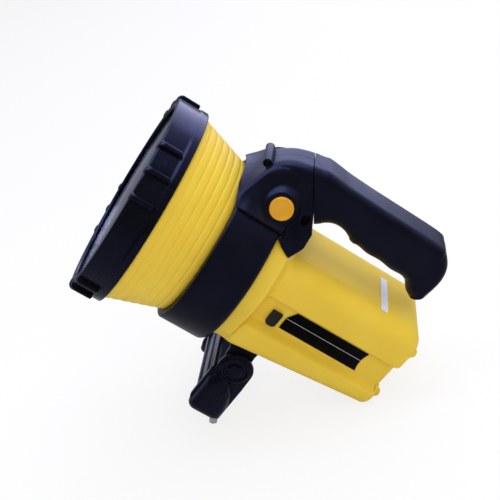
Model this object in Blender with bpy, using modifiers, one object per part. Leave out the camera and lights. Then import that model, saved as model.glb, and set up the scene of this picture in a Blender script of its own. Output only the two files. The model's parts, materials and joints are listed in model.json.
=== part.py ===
"""Rechargeable hand spotlight with a slanted-joint handle, standing on its fold-out leg.

Metres, +Z up, light leaving towards -X and upwards, the photographed side facing -Y.
Every piece is modelled in the lamp's own frame: x runs back from the front rim along
the beam's axis, y is across, and z is up from the axis. One empty, lamp_frame, then
tilts the lamp until its leg and its lower rear edge both stand on the ground.
"""

import math

import bmesh
import bpy
from mathutils import Matrix, Vector

# Driving dimensions, in metres and degrees, and the places and radii that follow from them.

GAP = 0.0003                    # between faces that touch
RUN_GAP = 0.0004                # between faces that slide or turn
OVERRUN = 0.0010                # how far a cutter passes through
FLAT_LIMIT = 0.0002             # bend, in radians, above which a face is divided

# front ring
BEZEL_RADIUS = 0.0806
BEZEL_SINK = 0.0008             # how far the panels between the ribs lie below the flange
BEZEL_LENGTH = 0.0255
BEZEL_FLANGE_LENGTH = 0.0070
BEZEL_WALL = 0.0032
BEZEL_LIP_WIDTH = 0.0081
BEZEL_LIP_THICKNESS = 0.0028
BEZEL_EDGE = 0.0016
RIB_HEIGHT = 0.0028
RIB_WIDTH = 0.0044
RIB_EDGE_SHARE = 0.30
RIB_PROUD = 0.0012
RIB_GROUPS = 4
RIBS_IN_GROUP = 3
RIB_SPACING = 15.0
PANEL_RADIUS = BEZEL_RADIUS - BEZEL_SINK
RING_INSIDE = BEZEL_RADIUS - BEZEL_WALL
FLANGE_START = BEZEL_LENGTH - BEZEL_FLANGE_LENGTH

# lens, seal, reflector and bulb
LENS_THICKNESS = 0.0026
LENS_SIDE_GAP = 0.0006
SEAL_THICKNESS = 0.0020
SEAL_WIDTH = 0.0032
REFLECTOR_WALL = 0.0014
REFLECTOR_DEPTH = 0.0775        # from its rim to the paraboloid's vertex
REFLECTOR_NECK_RADIUS = 0.0110
REFLECTOR_FLANGE = 0.0042
REFLECTOR_STEPS = 8
BULB_RADIUS = 0.0045
BULB_LENGTH = 0.0200
BULB_NOSE_SHARE = 0.30
BULB_TIP_SHARE = 0.70
BULB_FLANGE_RADIUS = 0.0100
BULB_FLANGE_THICKNESS = 0.0018
BULB_BASE_RADIUS = 0.0060
BULB_BASE_LENGTH = 0.0080
HOLDER_RADIUS = 0.0150
HOLDER_WALL = 0.0030
LENS_FRONT = BEZEL_LIP_THICKNESS + GAP
SEAL_FRONT = LENS_FRONT + LENS_THICKNESS + GAP
REFLECTOR_FRONT = SEAL_FRONT + SEAL_THICKNESS + GAP
LENS_RADIUS = RING_INSIDE - LENS_SIDE_GAP
REFLECTOR_RIM = LENS_RADIUS - REFLECTOR_FLANGE
REFLECTOR_FOCUS = REFLECTOR_RIM ** 2 / (4 * REFLECTOR_DEPTH)
HOUSING_FRONT = REFLECTOR_FRONT + REFLECTOR_WALL + GAP

# stepped housing, band and neck
NECK_RADIUS = 0.0592
CONE_LENGTH = 0.0440
CONE_FRONT_DROP = 0.0006
CONE_BACK_RISE = 0.0013
CONE_WALL = 0.0026
CONE_WALL_SHARE = 1.4
CONE_STEPS = 7
CONE_STEP_HEIGHT = 0.0007
SPIGOT_LENGTH = 0.0189
BAND_RISE = 0.0098              # its surface above the neck's
BAND_LENGTH = 0.0372
BAND_EDGE_SHARE = 0.46
BAND_FRONT_EDGE = 0.0014
NECK_REACH = 0.0143
NECK_LEAST_STEP = 2.5
CONE_FRONT_RADIUS = RING_INSIDE - CONE_FRONT_DROP
SPIGOT_INSIDE = NECK_RADIUS - GAP
SPIGOT_OUTSIDE = SPIGOT_INSIDE + CONE_WALL
CONE_BACK_RADIUS = SPIGOT_OUTSIDE + CONE_BACK_RISE
BAND_RADIUS = NECK_RADIUS + BAND_RISE
BAND_BACK_EDGE = BAND_RISE * BAND_EDGE_SHARE
BAND_FRONT = BEZEL_LENGTH + CONE_LENGTH
BAND_BACK = BAND_FRONT + BAND_LENGTH
NECK_FRONT = BAND_FRONT + SPIGOT_LENGTH
NECK_END = BAND_BACK + NECK_REACH
CONE_BACK = NECK_FRONT - RUN_GAP

# battery, and the housing round it
BATTERY_LENGTH = 0.0980
BATTERY_WIDTH = 0.0470
BATTERY_HEIGHT = 0.0700
BATTERY_TOP = 0.0335
BATTERY_SETBACK = 0.0128
BATTERY_SIDE_ROOM = 0.0039
BATTERY_LOW_ROOM = 0.0011
PAD_THICKNESS = 0.0068
STRIP_THICKNESS = 0.0035
STRIP_FRONT_INSET = 0.0040
STRIP_BACK_INSET = 0.0160
PAD_SHARE = 0.60
BODY_WALL = 0.0026
SHOULDER_LENGTH = 0.0052
BODY_FALL = 0.0120              # how much lower the underside is in front than behind
BODY_TOP_CORNER = 0.0160
BODY_BOTTOM_CORNER = 0.0105
BODY_BACK_EDGE = 0.0065
BODY_BACK_TOP_DROP = 0.0150
CHANNEL_DEPTH = 0.0080
CHANNEL_SLOPE = 0.0055
CHANNEL_TOP_SHARE = 0.556
CHANNEL_BOTTOM_SHARE = 0.2077
CHANNEL_SHARES = (0, 0.3, 0.7, 1)
REAR_SHARES = (1.0, 0.66, 0.43, 0.22, 0.09, 0.02, 0)
THROAT_SHARE = 0.92
CORNER_SHARE = 0.12
SHOULDER_SHARE = 0.55
NUB_RADIUS = 0.0038
NUB_SHARE = 0.60
NUB_HEIGHT = 0.0045
NUB_TOP_INSET = 0.0110
NUB_TOP_DROP = 0.0202
NUB_LOW_INSET = 0.0115
NUB_LOW_RISE = 0.0127
BODY_FRONT = NECK_END + SHOULDER_LENGTH
BATTERY_FRONT = BODY_FRONT + BATTERY_SETBACK
BATTERY_BACK = BATTERY_FRONT + BATTERY_LENGTH
BODY_BACK = BATTERY_BACK + PAD_THICKNESS + GAP * 2 + BODY_WALL
CHANNEL_Y = BATTERY_WIDTH / 2 + BATTERY_SIDE_ROOM + BODY_WALL
BODY_HALF_WIDTH = CHANNEL_Y + CHANNEL_DEPTH
BODY_TOP = BATTERY_TOP + STRIP_THICKNESS + GAP * 2 + BODY_WALL
BODY_BOTTOM_BACK = BATTERY_TOP - BATTERY_HEIGHT - BATTERY_LOW_ROOM - BODY_WALL
BODY_BOTTOM_FRONT = BODY_BOTTOM_BACK - BODY_FALL
BODY_HEIGHT = BODY_TOP - BODY_BOTTOM_BACK
CHANNEL_TOP = BODY_BOTTOM_BACK + BODY_HEIGHT * CHANNEL_TOP_SHARE
CHANNEL_BOTTOM = BODY_BOTTOM_BACK + BODY_HEIGHT * CHANNEL_BOTTOM_SHARE
CHANNEL_MIDDLE = (CHANNEL_TOP + CHANNEL_BOTTOM) / 2

# leads, board, charging socket and its cap
LEAD_RADIUS = 0.0010
LEAD_SWING = 0.0120
TERMINAL_LENGTH = 0.0060
TERMINAL_WIDTH = 0.0060
TERMINAL_THICKNESS = 0.0008
BOARD_SETBACK = 0.0096
BOARD_Z = 0.0240
RELAY_SIZE = 0.0110
BOARD_LENGTH = 0.0280
BOARD_WIDTH = 0.0500
BOARD_THICKNESS = 0.0016
SOCKET_SETBACK = 0.0178
SOCKET_DROP = 0.0030
SOCKET_RADIUS = 0.0042
SOCKET_LENGTH = 0.0055
SOCKET_BORE = 0.0030
SOCKET_BACK = 0.0012
CAP_LENGTH = 0.0088
CAP_HEIGHT = 0.0140
CAP_THICKNESS = 0.0030
CAP_PLUG_RADIUS = 0.0021
CAP_PLUG_LENGTH = 0.0016
CAP_ANGLE = 90.0
BOARD_X = NECK_FRONT + BOARD_SETBACK
SOCKET_X = BODY_FRONT + SOCKET_SETBACK
SOCKET_Z = CHANNEL_MIDDLE - SOCKET_DROP

# labels and sticker
LABEL_OFFSET = 0.0070
LABEL_LENGTH = 0.0700
LABEL_MARGIN = 0.0045
LABEL_THICKNESS = 0.0005
STICKER_SETBACK = 0.0390
STICKER_WIDTH = 0.0060
STICKER_LENGTH = 0.0360
STICKER_THICKNESS = 0.0004
LABEL_FRONT = SOCKET_X + LABEL_OFFSET
LABEL_HEIGHT = CHANNEL_TOP - CHANNEL_BOTTOM - LABEL_MARGIN * 2
STICKER_X = BODY_BACK - STICKER_SETBACK

# handle: front part over the band, slanted joint, and the grip behind it
SEAM_SETBACK = 0.0097
SEAM_RISE = 0.0122
SEAM_TILT = 33.5                # the joint's axis above the beam's axis
SEAM_GAP = 0.0010
SEAM_WALL_SHARE = 1.1
HANDLE_HALF_WIDTH = 0.0155
HANDLE_CORNER = 0.0065
HEAD_REACH = 0.0055             # how far it stands out in front of the band
HEAD_LENGTH = 0.0632
HEAD_RISE = 0.0322              # its top above the band
HEAD_WALL = 0.0030
HEAD_STEP = 0.0013
HEAD_SPLIT = 0.0003
HEAD_FLOOR_SHARE = 0.81
LIP_RISE = 0.0029
FLARE_POWER = 2.2
FLARE_STEPS = 7
FIN_THICKNESS = 0.0022
FIN_START_ANGLE = 34.0
FIN_SETBACK = 0.0007
FIN_TIP = 0.0012
FIN_POWER = 1.5
SKIRT_ANGLES = (4, 12, 20, 28, 33, 37, 41, 44, 46)
CAVITY_TOP_SHARE = 0.8789
CAVITY_FRONT_SHARE = 0.2453
CAVITY_STEP_SHARE = 1.6
SLAB_SIZE = 0.3000
MITRE_LIMIT = 0.35
GRIP_LENGTH = 0.1171
GRIP_DROP = 0.0486
GRIP_WAVE = 0.0007
GRIP_WAVES = 3
WAVE_POINTS = 12
WAVE_BACK_SHARE = 0.7822
WAVE_DROP = 0.0030
TIP_CORNER_SHARE = 0.42
HEAD_FRONT = BAND_FRONT - HEAD_REACH
HEAD_BACK = HEAD_FRONT + HEAD_LENGTH
HEAD_TOP = BAND_RADIUS + HEAD_RISE
FIN_BACK = HEAD_BACK - FIN_SETBACK
SEAM_X = BAND_BACK + SEAM_SETBACK
SEAM_Z = BAND_RADIUS + SEAM_RISE
BAND_LIP = BAND_RADIUS + LIP_RISE
NECK_LIP = NECK_RADIUS + LIP_RISE

# Sections of the handle's front: the share of its length, the share of its rise, the lip's
# angle, and the lip's share of the way from the neck's level to the band's.
HEAD_SHARES = (
    (0.0000, 0.0559, 17.0, 0.8673),
    (0.0443, 0.1304, 30.0, 0.9694),
    (0.1028, 0.2547, 34.5, 1.0000),
    (0.2009, 0.5652, 34.5, 1.0000),
    (0.2848, 0.7205, 34.5, 1.0000),
    (0.3940, 0.8385, 34.5, 1.0000),
    (0.5063, 0.9161, 34.5, 1.0000),
    (0.6250, 0.9689, 34.5, 1.0000),
    (0.7041, 0.9876, 33.0, 0.7041),
    (0.7911, 1.0000, 30.0, 0.1939),
    (1.0000, 1.0000, 28.0, 0.0102),
)

# The front's hollow in side view, as shares of the front's length and rise.
CAVITY_SHARES = ((0.2532, 0.3416), (0.3165, 0.5590), (0.4035, 0.7143), (0.5063, 0.8137))

# Pairs of an upper and a lower edge point of the grip, from in front of the slanted joint
# to the free end, as shares of the grip's length behind the joint and of its drop.
GRIP_FRONT_SHARES = (
    ((-0.1571, 0.0185), (0.0222, 0.9300)), ((-0.0589, -0.0021), (0.1204, 0.7490)),
    ((-0.0120, -0.0206), (0.1546, 0.6626)), ((0.0564, 0.0000), (0.1973, 0.6008)),
    ((0.1332, 0.0206), (0.2442, 0.5864)), ((0.2186, 0.0247), (0.2912, 0.6070)),
    ((0.3040, 0.0267), (0.3365, 0.6626)), ((0.3723, 0.0288), (0.3766, 0.7160)))
GRIP_BACK_SHARES = (
    ((0.8420, 0.0370), (0.8079, 0.7922)), ((0.9018, 0.0864), (0.8207, 0.8374)),
    ((0.9530, 0.1893), (0.8292, 0.8683)), ((0.9855, 0.3333), (0.8420, 0.9095)),
    ((1.0000, 0.5185), (0.8608, 0.9547)), ((0.9957, 0.7140), (0.8813, 0.9856)),
    ((0.9821, 0.8642), (0.9035, 1.0000)))

# bolt of the slanted joint
SPINDLE_RADIUS = 0.0036
SPINDLE_HEAD_RADIUS = 0.0052
SPINDLE_HEAD_THICKNESS = 0.0020
SPINDLE_FRONT = 0.0118
SPINDLE_BACK = 0.0150
WASHER_THICKNESS = 0.0012
SPRING_WIRE = 0.0009
SPRING_TURNS = 2

# push button and switch
BUTTON_SETBACK = 0.0088
BUTTON_Y = 0.0320
BUTTON_RISE = 0.0008
BUTTON_TILT = 12.0
BUTTON_RADIUS = 0.0088
BUTTON_HEIGHT = 0.0038
BUTTON_EDGE = 0.0010
EDGE_SHARE = 0.30
BUTTON_PROUD = 0.0022
BUTTON_TRAVEL = 0.0025
BUTTON_STEM_RADIUS = 0.0018
STEM_END = 0.0083
BOSS_RADIUS = 0.0125
BOSS_DEPTH = 0.0120
BOSS_SPREAD = 0.0060
BORE_DEPTH = 0.0067
SWITCH_RADIUS = 0.0046
SWITCH_END = 0.0130
SWITCH_DEPTH = 0.0060
SWITCH_BACK = 0.0014
WELL_WALL = 0.0012
BUTTON_X = BAND_BACK - BUTTON_SETBACK
BUTTON_Z = BAND_RADIUS + BUTTON_RISE

# tube for a cord on the handle's front
BAR_SETBACK = 0.0045
BAR_RISE = 0.0178
BAR_RADIUS = 0.0034
BAR_BORE = 0.0022
BAR_LENGTH = 0.0290
BAR_X = BAND_FRONT + BAR_SETBACK
BAR_Z = BAND_RADIUS + BAR_RISE

# fold-out leg, its bracket and its pin
PIVOT_SETBACK = 0.0188
LEG_CLEARANCE = 0.0005
LEG_HUB_RADIUS = 0.0145
LEG_LENGTH = 0.0525             # from the pin to its lowest point
LEG_FRONT_REACH = 0.0165
LEG_BACK_REACH = 0.0150
LEG_SIDE_GAP = 0.0007
LEG_HUB_THICKNESS = 0.0040
FOOT_DEPTH = 0.0065
LEG_TOE_RADIUS = 0.0130
LEG_HEEL = 0.0030
LEG_EDGE = 0.0012
LEG_BULGE = 0.45
FOOT_SETBACK = 0.0005
FOOT_DROP = 0.0350
FOOT_SCALE = 0.985
FLAT_DEPTH = 0.0004
HEEL_FLAT_DEPTH = 0.0009
PAD_INSET = 0.0010
PAD_SETBACK = 0.0050
WEB_TOP_DROP = 0.0075
WEB_BOTTOM_DROP = 0.0330
WEB_THICKNESS = 0.0030
WEB_SETBACK = 0.0020
WEB_RIBS = 2
WEB_RIB_HEIGHT = 0.0012
PAD_RADIUS = 0.0032
PAD_LENGTH = 0.0080
BRACKET_FRONT_INSET = 0.0010
BRACKET_BACK_INSET = 0.0007
BRACKET_PLATE = 0.0040
EAR_INSET = 0.0062
EAR_THICKNESS = 0.0050
EAR_REACH = 0.0125
CLIP_THICKNESS = 0.0010
PIN_TAIL = 0.0014
PIN_RADIUS = 0.0030
PIN_HEAD_RADIUS = 0.0062
PIN_HEAD_THICKNESS = 0.0014
FOLD_ANGLE = 88.0
CORNER_ANGLES = (0, 30, 60, 90)
BULGE_SHARES = (0, 0.5, 0.8, 0.95, 1)

# The foot's upper edge in side view, as shares of the leg's depth and of its length.
FOOT_SHARES = ((0.114, 0.82), (0.342, 0.77), (0.603, 0.70), (0.782, 0.58), (0.912, 0.42), (1, 0.25))
FOOT_FRONT_SHARE = 0.69

# screws
SCREW_RADIUS = 0.0015
SCREW_HEAD_RADIUS = 0.0028
SCREW_HEAD_THICKNESS = 0.0018
SCREW_LENGTH = 0.0100
SCREW_CLEAR = 0.0003
BRACKET_SCREW_SETBACK = 0.0015
BRACKET_SCREW_Y = 0.0150
SADDLE_SCREW_SETBACK = 0.0030
SADDLE_SCREW_ANGLE = 21.0
SADDLE_SEAT_RISE = 0.0048
SADDLE_SCREW_X = NECK_END - SADDLE_SCREW_SETBACK
SADDLE_SCREW_SEAT = NECK_RADIUS + SADDLE_SEAT_RISE
SHELL_SEAT = 0.0140
SHELL_SCREW_LENGTH = 0.0200
SHELL_POST_RADIUS = 0.0036

# Places of the screws that join the handle's halves, as shares of its front's length and rise.
SHELL_SCREW_SHARES = ((0.3481, 0.3882), (0.5696, 0.6522))


# Scene, materials and placing.

def clear_scene():
    for item in list(bpy.data.objects):
        bpy.data.objects.remove(item, do_unlink=True)


def new_collection(name):
    collection = bpy.data.collections.new(name)
    bpy.context.scene.collection.children.link(collection)
    return collection


clear_scene()
PARTS = new_collection("hand_spotlight")
CUTTERS = new_collection("hand_spotlight_cutters")
LAMP = bpy.data.objects.new("lamp_frame", None)
PARTS.objects.link(LAMP)


def make_material(name, colour, roughness, metallic=0.0, transmission=0.0):
    material = bpy.data.materials.new(name)
    material.use_nodes = True
    shader = material.node_tree.nodes["Principled BSDF"]
    shader.inputs["Base Color"].default_value = (*colour, 1.0)
    shader.inputs["Roughness"].default_value = roughness
    shader.inputs["Metallic"].default_value = metallic
    shader.inputs["Transmission Weight"].default_value = transmission
    material.diffuse_color = (*colour, 1.0)
    return material


FINISHES = {
    "black_gloss": ((0.010, 0.010, 0.018), 0.28, 0.0, 0.0),
    "black_satin": ((0.012, 0.012, 0.017), 0.42, 0.0, 0.0),
    "yellow": ((0.84, 0.60, 0.035), 0.38, 0.0, 0.0),
    "button_yellow": ((0.90, 0.52, 0.02), 0.35, 0.0, 0.0),
    "rubber": ((0.020, 0.020, 0.020), 0.75, 0.0, 0.0),
    "foam": ((0.10, 0.10, 0.10), 0.90, 0.0, 0.0),
    "clear": ((0.95, 0.97, 0.98), 0.03, 0.0, 0.95),
    "reflector": ((0.88, 0.88, 0.88), 0.08, 1.0, 0.0),
    "steel": ((0.60, 0.60, 0.60), 0.30, 1.0, 0.0),
    "ceramic": ((0.85, 0.83, 0.78), 0.60, 0.0, 0.0),
    "label": ((0.012, 0.012, 0.012), 0.25, 0.0, 0.0),
    "white": ((0.90, 0.90, 0.92), 0.40, 0.0, 0.0),
    "battery": ((0.055, 0.060, 0.070), 0.50, 0.0, 0.0),
    "board": ((0.03, 0.22, 0.08), 0.45, 0.0, 0.0),
    "grey": ((0.55, 0.56, 0.58), 0.60, 0.0, 0.0),
}


def finish(obj, name, finish_name):
    """Names an object and gives it a material of its own."""
    obj.name = name
    obj.data.name = name
    obj.data.materials.clear()
    obj.data.materials.append(make_material(name, *FINISHES[finish_name]))
    return obj


def add_object(name, mesh, collection=None, parent=LAMP):
    obj = bpy.data.objects.new(name, mesh)
    (collection or PARTS).objects.link(obj)
    obj.parent = parent
    return obj


def mesh_object(name, bm, collection=None):
    mesh = bpy.data.meshes.new(name)
    bm.to_mesh(mesh)
    bm.free()
    return add_object(name, mesh, collection)


def as_cutter(obj):
    """Hides an object that only cuts or fills another one."""
    for collection in list(obj.users_collection):
        collection.objects.unlink(obj)
    CUTTERS.objects.link(obj)
    obj.hide_render = True
    obj.display_type = "WIRE"
    return obj


def set_origin(obj, x, y, z):
    """Moves an object's origin to a point of the lamp's frame, and leaves its shape in place."""
    point = Vector((x, y, z))
    obj.data.transform(Matrix.Translation(-point) @ obj.matrix_basis)
    obj.matrix_basis = Matrix.Translation(point)
    return obj


def boolean(obj, other, operation):
    as_cutter(other)
    modifier = obj.modifiers.new(operation.lower(), "BOOLEAN")
    modifier.operation = operation
    modifier.solver = "EXACT"
    modifier.object = other
    return obj


def cut(obj, *cutters):
    for cutter in cutters:
        boolean(obj, cutter, "DIFFERENCE")
    return obj


def fuse(obj, *others):
    for other in others:
        boolean(obj, other, "UNION")
    return obj


# Shapes.

def box(name, low, high):
    """A box between two corners."""
    bm = bmesh.new()
    bmesh.ops.create_cube(bm, size=1.0)
    size = Vector(high) - Vector(low)
    centre = (Vector(high) + Vector(low)) / 2
    bmesh.ops.transform(bm, matrix=Matrix.Translation(centre) @ Matrix.Diagonal((*size, 1)), verts=bm.verts)
    return mesh_object(name, bm)


def direction_matrix(axis):
    """Turns +Z to an axis."""
    return Vector((0, 0, 1)).rotation_difference(Vector(axis).normalized()).to_matrix().to_4x4()


def rod(name, start, axis, length, radius, sides=20, end_radius=None):
    """A cylinder, or a cone, from a start point along an axis."""
    bm = bmesh.new()
    bmesh.ops.create_cone(
        bm, cap_ends=True, segments=sides, radius1=radius,
        radius2=radius if end_radius is None else end_radius, depth=length)
    centre = Vector(start) + Vector(axis).normalized() * (length / 2)
    bmesh.ops.transform(bm, matrix=Matrix.Translation(centre) @ direction_matrix(axis), verts=bm.verts)
    return mesh_object(name, bm)


def turned(name, profile, start=(0, 0, 0), axis=(1, 0, 0), steps=48):
    """Turns a profile of (along, radius) points about an axis. It runs forward along its outer side."""
    mesh = bpy.data.meshes.new(name)
    points = [(radius, 0, along) for along, radius in profile]
    closed = profile[0][1] > 0
    edges = [(i, i + 1) for i in range(len(points) - 1)]
    if closed:
        edges.append((len(points) - 1, 0))
    mesh.from_pydata(points, edges, [])
    obj = add_object(name, mesh)
    obj.matrix_basis = Matrix.Translation(Vector(start)) @ direction_matrix(axis)
    screw = obj.modifiers.new("turn", "SCREW")
    screw.axis = "Z"
    screw.angle = math.tau
    screw.steps = steps
    screw.render_steps = steps
    screw.use_merge_vertices = True
    screw.merge_threshold = 0.00001
    screw.use_smooth_shade = True
    return obj


def tube(name, start, axis, length, outer, inner, steps=24):
    return turned(name, [(length, outer), (0, outer), (0, inner), (length, inner)], start, axis, steps)


def disc(name, start, axis, length, radius, steps=24):
    return turned(name, [(length, 0), (length, radius), (0, radius), (0, 0)], start, axis, steps)


def loft(name, rings):
    """Skins closed rings of equal counts, and caps the first and the last."""
    bm = bmesh.new()
    rows = [[bm.verts.new(point) for point in ring] for ring in rings]
    count = len(rows[0])
    for first, second in zip(rows, rows[1:]):
        for i in range(count):
            j = (i + 1) % count
            bm.faces.new((first[i], first[j], second[j], second[i]))
    bm.faces.new(rows[0][::-1])
    bm.faces.new(rows[-1])
    bmesh.ops.connect_verts_nonplanar(bm, angle_limit=FLAT_LIMIT, faces=bm.faces)
    bmesh.ops.recalc_face_normals(bm, faces=bm.faces)
    return mesh_object(name, bm)


def prism(name, outline, low, high):
    """Extrudes an outline of (x, z) points from one y to another."""
    return loft(name, [[(x, y, z) for x, z in outline] for y in (low, high)])


def arc(centre_u, centre_v, radius, start, end, steps):
    """Points on an arc, in degrees."""
    angles = [math.radians(start + (end - start) * i / steps) for i in range(steps + 1)]
    return [(centre_u + radius * math.cos(a), centre_v + radius * math.sin(a)) for a in angles]


def blend(low, high, share):
    return low + (high - low) * share


def coil(name, start, axis, length, radius, wire, turns, points_per_turn=10):
    """A wire wound into an open coil between two ends."""
    curve = bpy.data.curves.new(name, "CURVE")
    curve.dimensions = "3D"
    curve.bevel_depth = wire / 2
    curve.bevel_resolution = 1
    curve.render_resolution_u = 0
    curve.use_fill_caps = True
    spline = curve.splines.new("POLY")
    count = turns * points_per_turn
    spline.points.add(count)
    rise = length - wire
    for i in range(count + 1):
        angle = math.tau * i / points_per_turn
        along = wire / 2 + rise * i / count
        spline.points[i].co = (radius * math.cos(angle), radius * math.sin(angle), along, 1)
    obj = add_object(name, curve)
    obj.matrix_basis = Matrix.Translation(Vector(start)) @ direction_matrix(axis)
    gap = rise / turns - wire
    print(f"{name}: the least gap between turns is {gap * 1000:.2f} mm")
    return obj


# The lamp's front: ring, lens, seal, reflector, bulb and stepped housing.


def bezel_ring():
    opening = BEZEL_RADIUS - BEZEL_LIP_WIDTH
    ring = turned("bezel_ring", [
        (BEZEL_LENGTH, BEZEL_RADIUS),
        (FLANGE_START + BEZEL_SINK, BEZEL_RADIUS),
        (FLANGE_START, PANEL_RADIUS),
        (BEZEL_EDGE, PANEL_RADIUS),
        (0, PANEL_RADIUS - BEZEL_EDGE),
        (0, opening + BEZEL_EDGE),
        (BEZEL_LIP_THICKNESS, opening),
        (BEZEL_LIP_THICKNESS, RING_INSIDE),
        (BEZEL_LENGTH, RING_INSIDE),
    ], steps=72)
    for group in range(RIB_GROUPS):
        for rib in range(RIBS_IN_GROUP):
            angle = 360 / RIB_GROUPS * (group + 0.5) + RIB_SPACING * (rib - (RIBS_IN_GROUP - 1) / 2)
            bar = box(
                "rib_cutter",
                (-RIB_PROUD, -RIB_WIDTH / 2, PANEL_RADIUS - BEZEL_EDGE),
                (FLANGE_START, RIB_WIDTH / 2, BEZEL_RADIUS + RIB_HEIGHT))
            edge = bar.modifiers.new("round", "BEVEL")
            edge.width = RIB_WIDTH * RIB_EDGE_SHARE
            edge.segments = 1
            bar.matrix_basis = Matrix.Rotation(math.radians(angle), 4, "X")
            fuse(ring, bar)
    return finish(ring, "bezel_ring", "black_gloss")


def lamp_optics():
    finish(disc("lens", (LENS_FRONT, 0, 0), (1, 0, 0), LENS_THICKNESS, LENS_RADIUS, 64), "lens", "clear")
    finish(tube("lens_seal", (SEAL_FRONT, 0, 0), (1, 0, 0), SEAL_THICKNESS, LENS_RADIUS,
                LENS_RADIUS - SEAL_WIDTH, 48), "lens_seal", "rubber")
    rim = REFLECTOR_RIM
    depth_neck = REFLECTOR_NECK_RADIUS ** 2 / (4 * REFLECTOR_FOCUS)
    vertex = REFLECTOR_FRONT + REFLECTOR_DEPTH
    inner = []
    for i in range(REFLECTOR_STEPS + 1):
        radius = blend(rim, REFLECTOR_NECK_RADIUS, i / REFLECTOR_STEPS)
        inner.append((vertex - radius ** 2 / (4 * REFLECTOR_FOCUS), radius))
    outer = [(along + REFLECTOR_WALL, radius + REFLECTOR_WALL / 2) for along, radius in inner]
    neck = vertex - depth_neck + REFLECTOR_WALL + HOLDER_WALL
    profile = [(neck, REFLECTOR_NECK_RADIUS + REFLECTOR_WALL)]
    profile += outer[:0:-1]
    profile += [(REFLECTOR_FRONT + REFLECTOR_WALL, rim + REFLECTOR_WALL),
                (REFLECTOR_FRONT + REFLECTOR_WALL, LENS_RADIUS),
                (REFLECTOR_FRONT, LENS_RADIUS)]
    profile += inner
    profile += [(neck, REFLECTOR_NECK_RADIUS)]
    finish(turned("reflector", profile, steps=48), "reflector", "reflector")
    # bulb, its holder and the spring clip that holds it
    base = neck + GAP
    finish(turned("bulb", [
        (base + BULB_FLANGE_THICKNESS + BULB_BASE_LENGTH, 0),
        (base + BULB_FLANGE_THICKNESS + BULB_BASE_LENGTH, BULB_BASE_RADIUS),
        (base + BULB_FLANGE_THICKNESS, BULB_BASE_RADIUS),
        (base + BULB_FLANGE_THICKNESS, BULB_FLANGE_RADIUS),
        (base, BULB_FLANGE_RADIUS),
        (base, BULB_RADIUS),
        (base - BULB_LENGTH + BULB_RADIUS, BULB_RADIUS),
        (base - BULB_LENGTH + BULB_RADIUS * BULB_NOSE_SHARE, BULB_RADIUS * BULB_TIP_SHARE),
        (base - BULB_LENGTH, 0),
    ], steps=20), "bulb", "clear")
    bore = BULB_FLANGE_RADIUS + RUN_GAP
    back = base + BULB_FLANGE_THICKNESS + BULB_BASE_LENGTH + GAP
    finish(turned("bulb_holder", [
        (back + HOLDER_WALL, 0),
        (back + HOLDER_WALL, HOLDER_RADIUS),
        (neck + GAP, HOLDER_RADIUS),
        (neck + GAP, bore),
        (back, bore),
        (back, 0),
    ], steps=24), "bulb_holder", "ceramic")
    return back + HOLDER_WALL


def lamp_housing():
    """Yellow shell that steps down from the ring to the band and carries a spigot inside the band."""
    outer = []
    span = BAND_FRONT - GAP - BEZEL_LENGTH
    for i in range(CONE_STEPS):
        start = BEZEL_LENGTH + span * i / CONE_STEPS
        end = BEZEL_LENGTH + span * (i + 1) / CONE_STEPS
        radius = blend(CONE_FRONT_RADIUS, CONE_BACK_RADIUS, i / (CONE_STEPS - 1))
        outer += [(start + CONE_STEP_HEIGHT, radius), (end, radius - CONE_STEP_HEIGHT)]
    seat = RING_INSIDE - RUN_GAP
    front = [(HOUSING_FRONT, seat), (BEZEL_LENGTH, seat)]
    spigot = [(BAND_FRONT - GAP, SPIGOT_OUTSIDE), (CONE_BACK, SPIGOT_OUTSIDE)]
    line = front + outer + spigot
    inner = [(HOUSING_FRONT, seat - CONE_WALL),
             (BEZEL_LENGTH, CONE_FRONT_RADIUS - CONE_WALL * CONE_WALL_SHARE),
             (BAND_FRONT, SPIGOT_INSIDE), (CONE_BACK, SPIGOT_INSIDE)]
    housing = turned("lamp_housing", line[::-1] + inner, steps=64)
    return finish(housing, "lamp_housing", "yellow")


def band():
    """Black band around the joint between the lamp housing and the neck."""
    inside = SPIGOT_OUTSIDE + GAP
    tight = NECK_RADIUS + GAP
    step = (CONE_BACK + NECK_FRONT) / 2
    edge = [(BAND_BACK, BAND_RADIUS - BAND_BACK_EDGE)]
    edge += [(BAND_BACK - BAND_BACK_EDGE + along, BAND_RADIUS - BAND_BACK_EDGE + rise)
             for rise, along in reversed(arc(0, 0, BAND_BACK_EDGE, 0, 90, 4)[:-1])][1:]
    profile = edge + [
        (BAND_FRONT + BAND_FRONT_EDGE, BAND_RADIUS),
        (BAND_FRONT, BAND_RADIUS - BAND_FRONT_EDGE),
        (BAND_FRONT, inside),
        (step, inside),
        (step, tight),
        (BAND_BACK, tight),
    ]
    return finish(turned("collar_band", profile, steps=64), "collar_band", "black_satin")


# Battery housing: a neck that turns into a box with a channel down each side.


def body_half_section(width, top, bottom, corner, low_corner, depth):
    """Right half of the section, (y, z) from the top's middle to the bottom's middle."""
    points = [(0, top)]
    points += arc(width - corner, top - corner, corner, 90, 0, 4)
    for share in CHANNEL_SHARES:
        ease = (1 - math.cos(math.pi * share)) / 2
        points.append((width - depth * ease, CHANNEL_TOP + CHANNEL_SLOPE * (0.5 - share)))
    for share in CHANNEL_SHARES:
        ease = (1 + math.cos(math.pi * share)) / 2
        points.append((width - depth * ease, CHANNEL_BOTTOM + CHANNEL_SLOPE * (0.5 - share)))
    points += arc(width - low_corner, bottom + low_corner, low_corner, 0, -90, 4)
    points.append((0, bottom))
    return points


def body_bottom(x):
    share = (x - BODY_FRONT) / (BODY_BACK - BODY_FRONT)
    return blend(BODY_BOTTOM_FRONT, BODY_BOTTOM_BACK, share)


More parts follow.
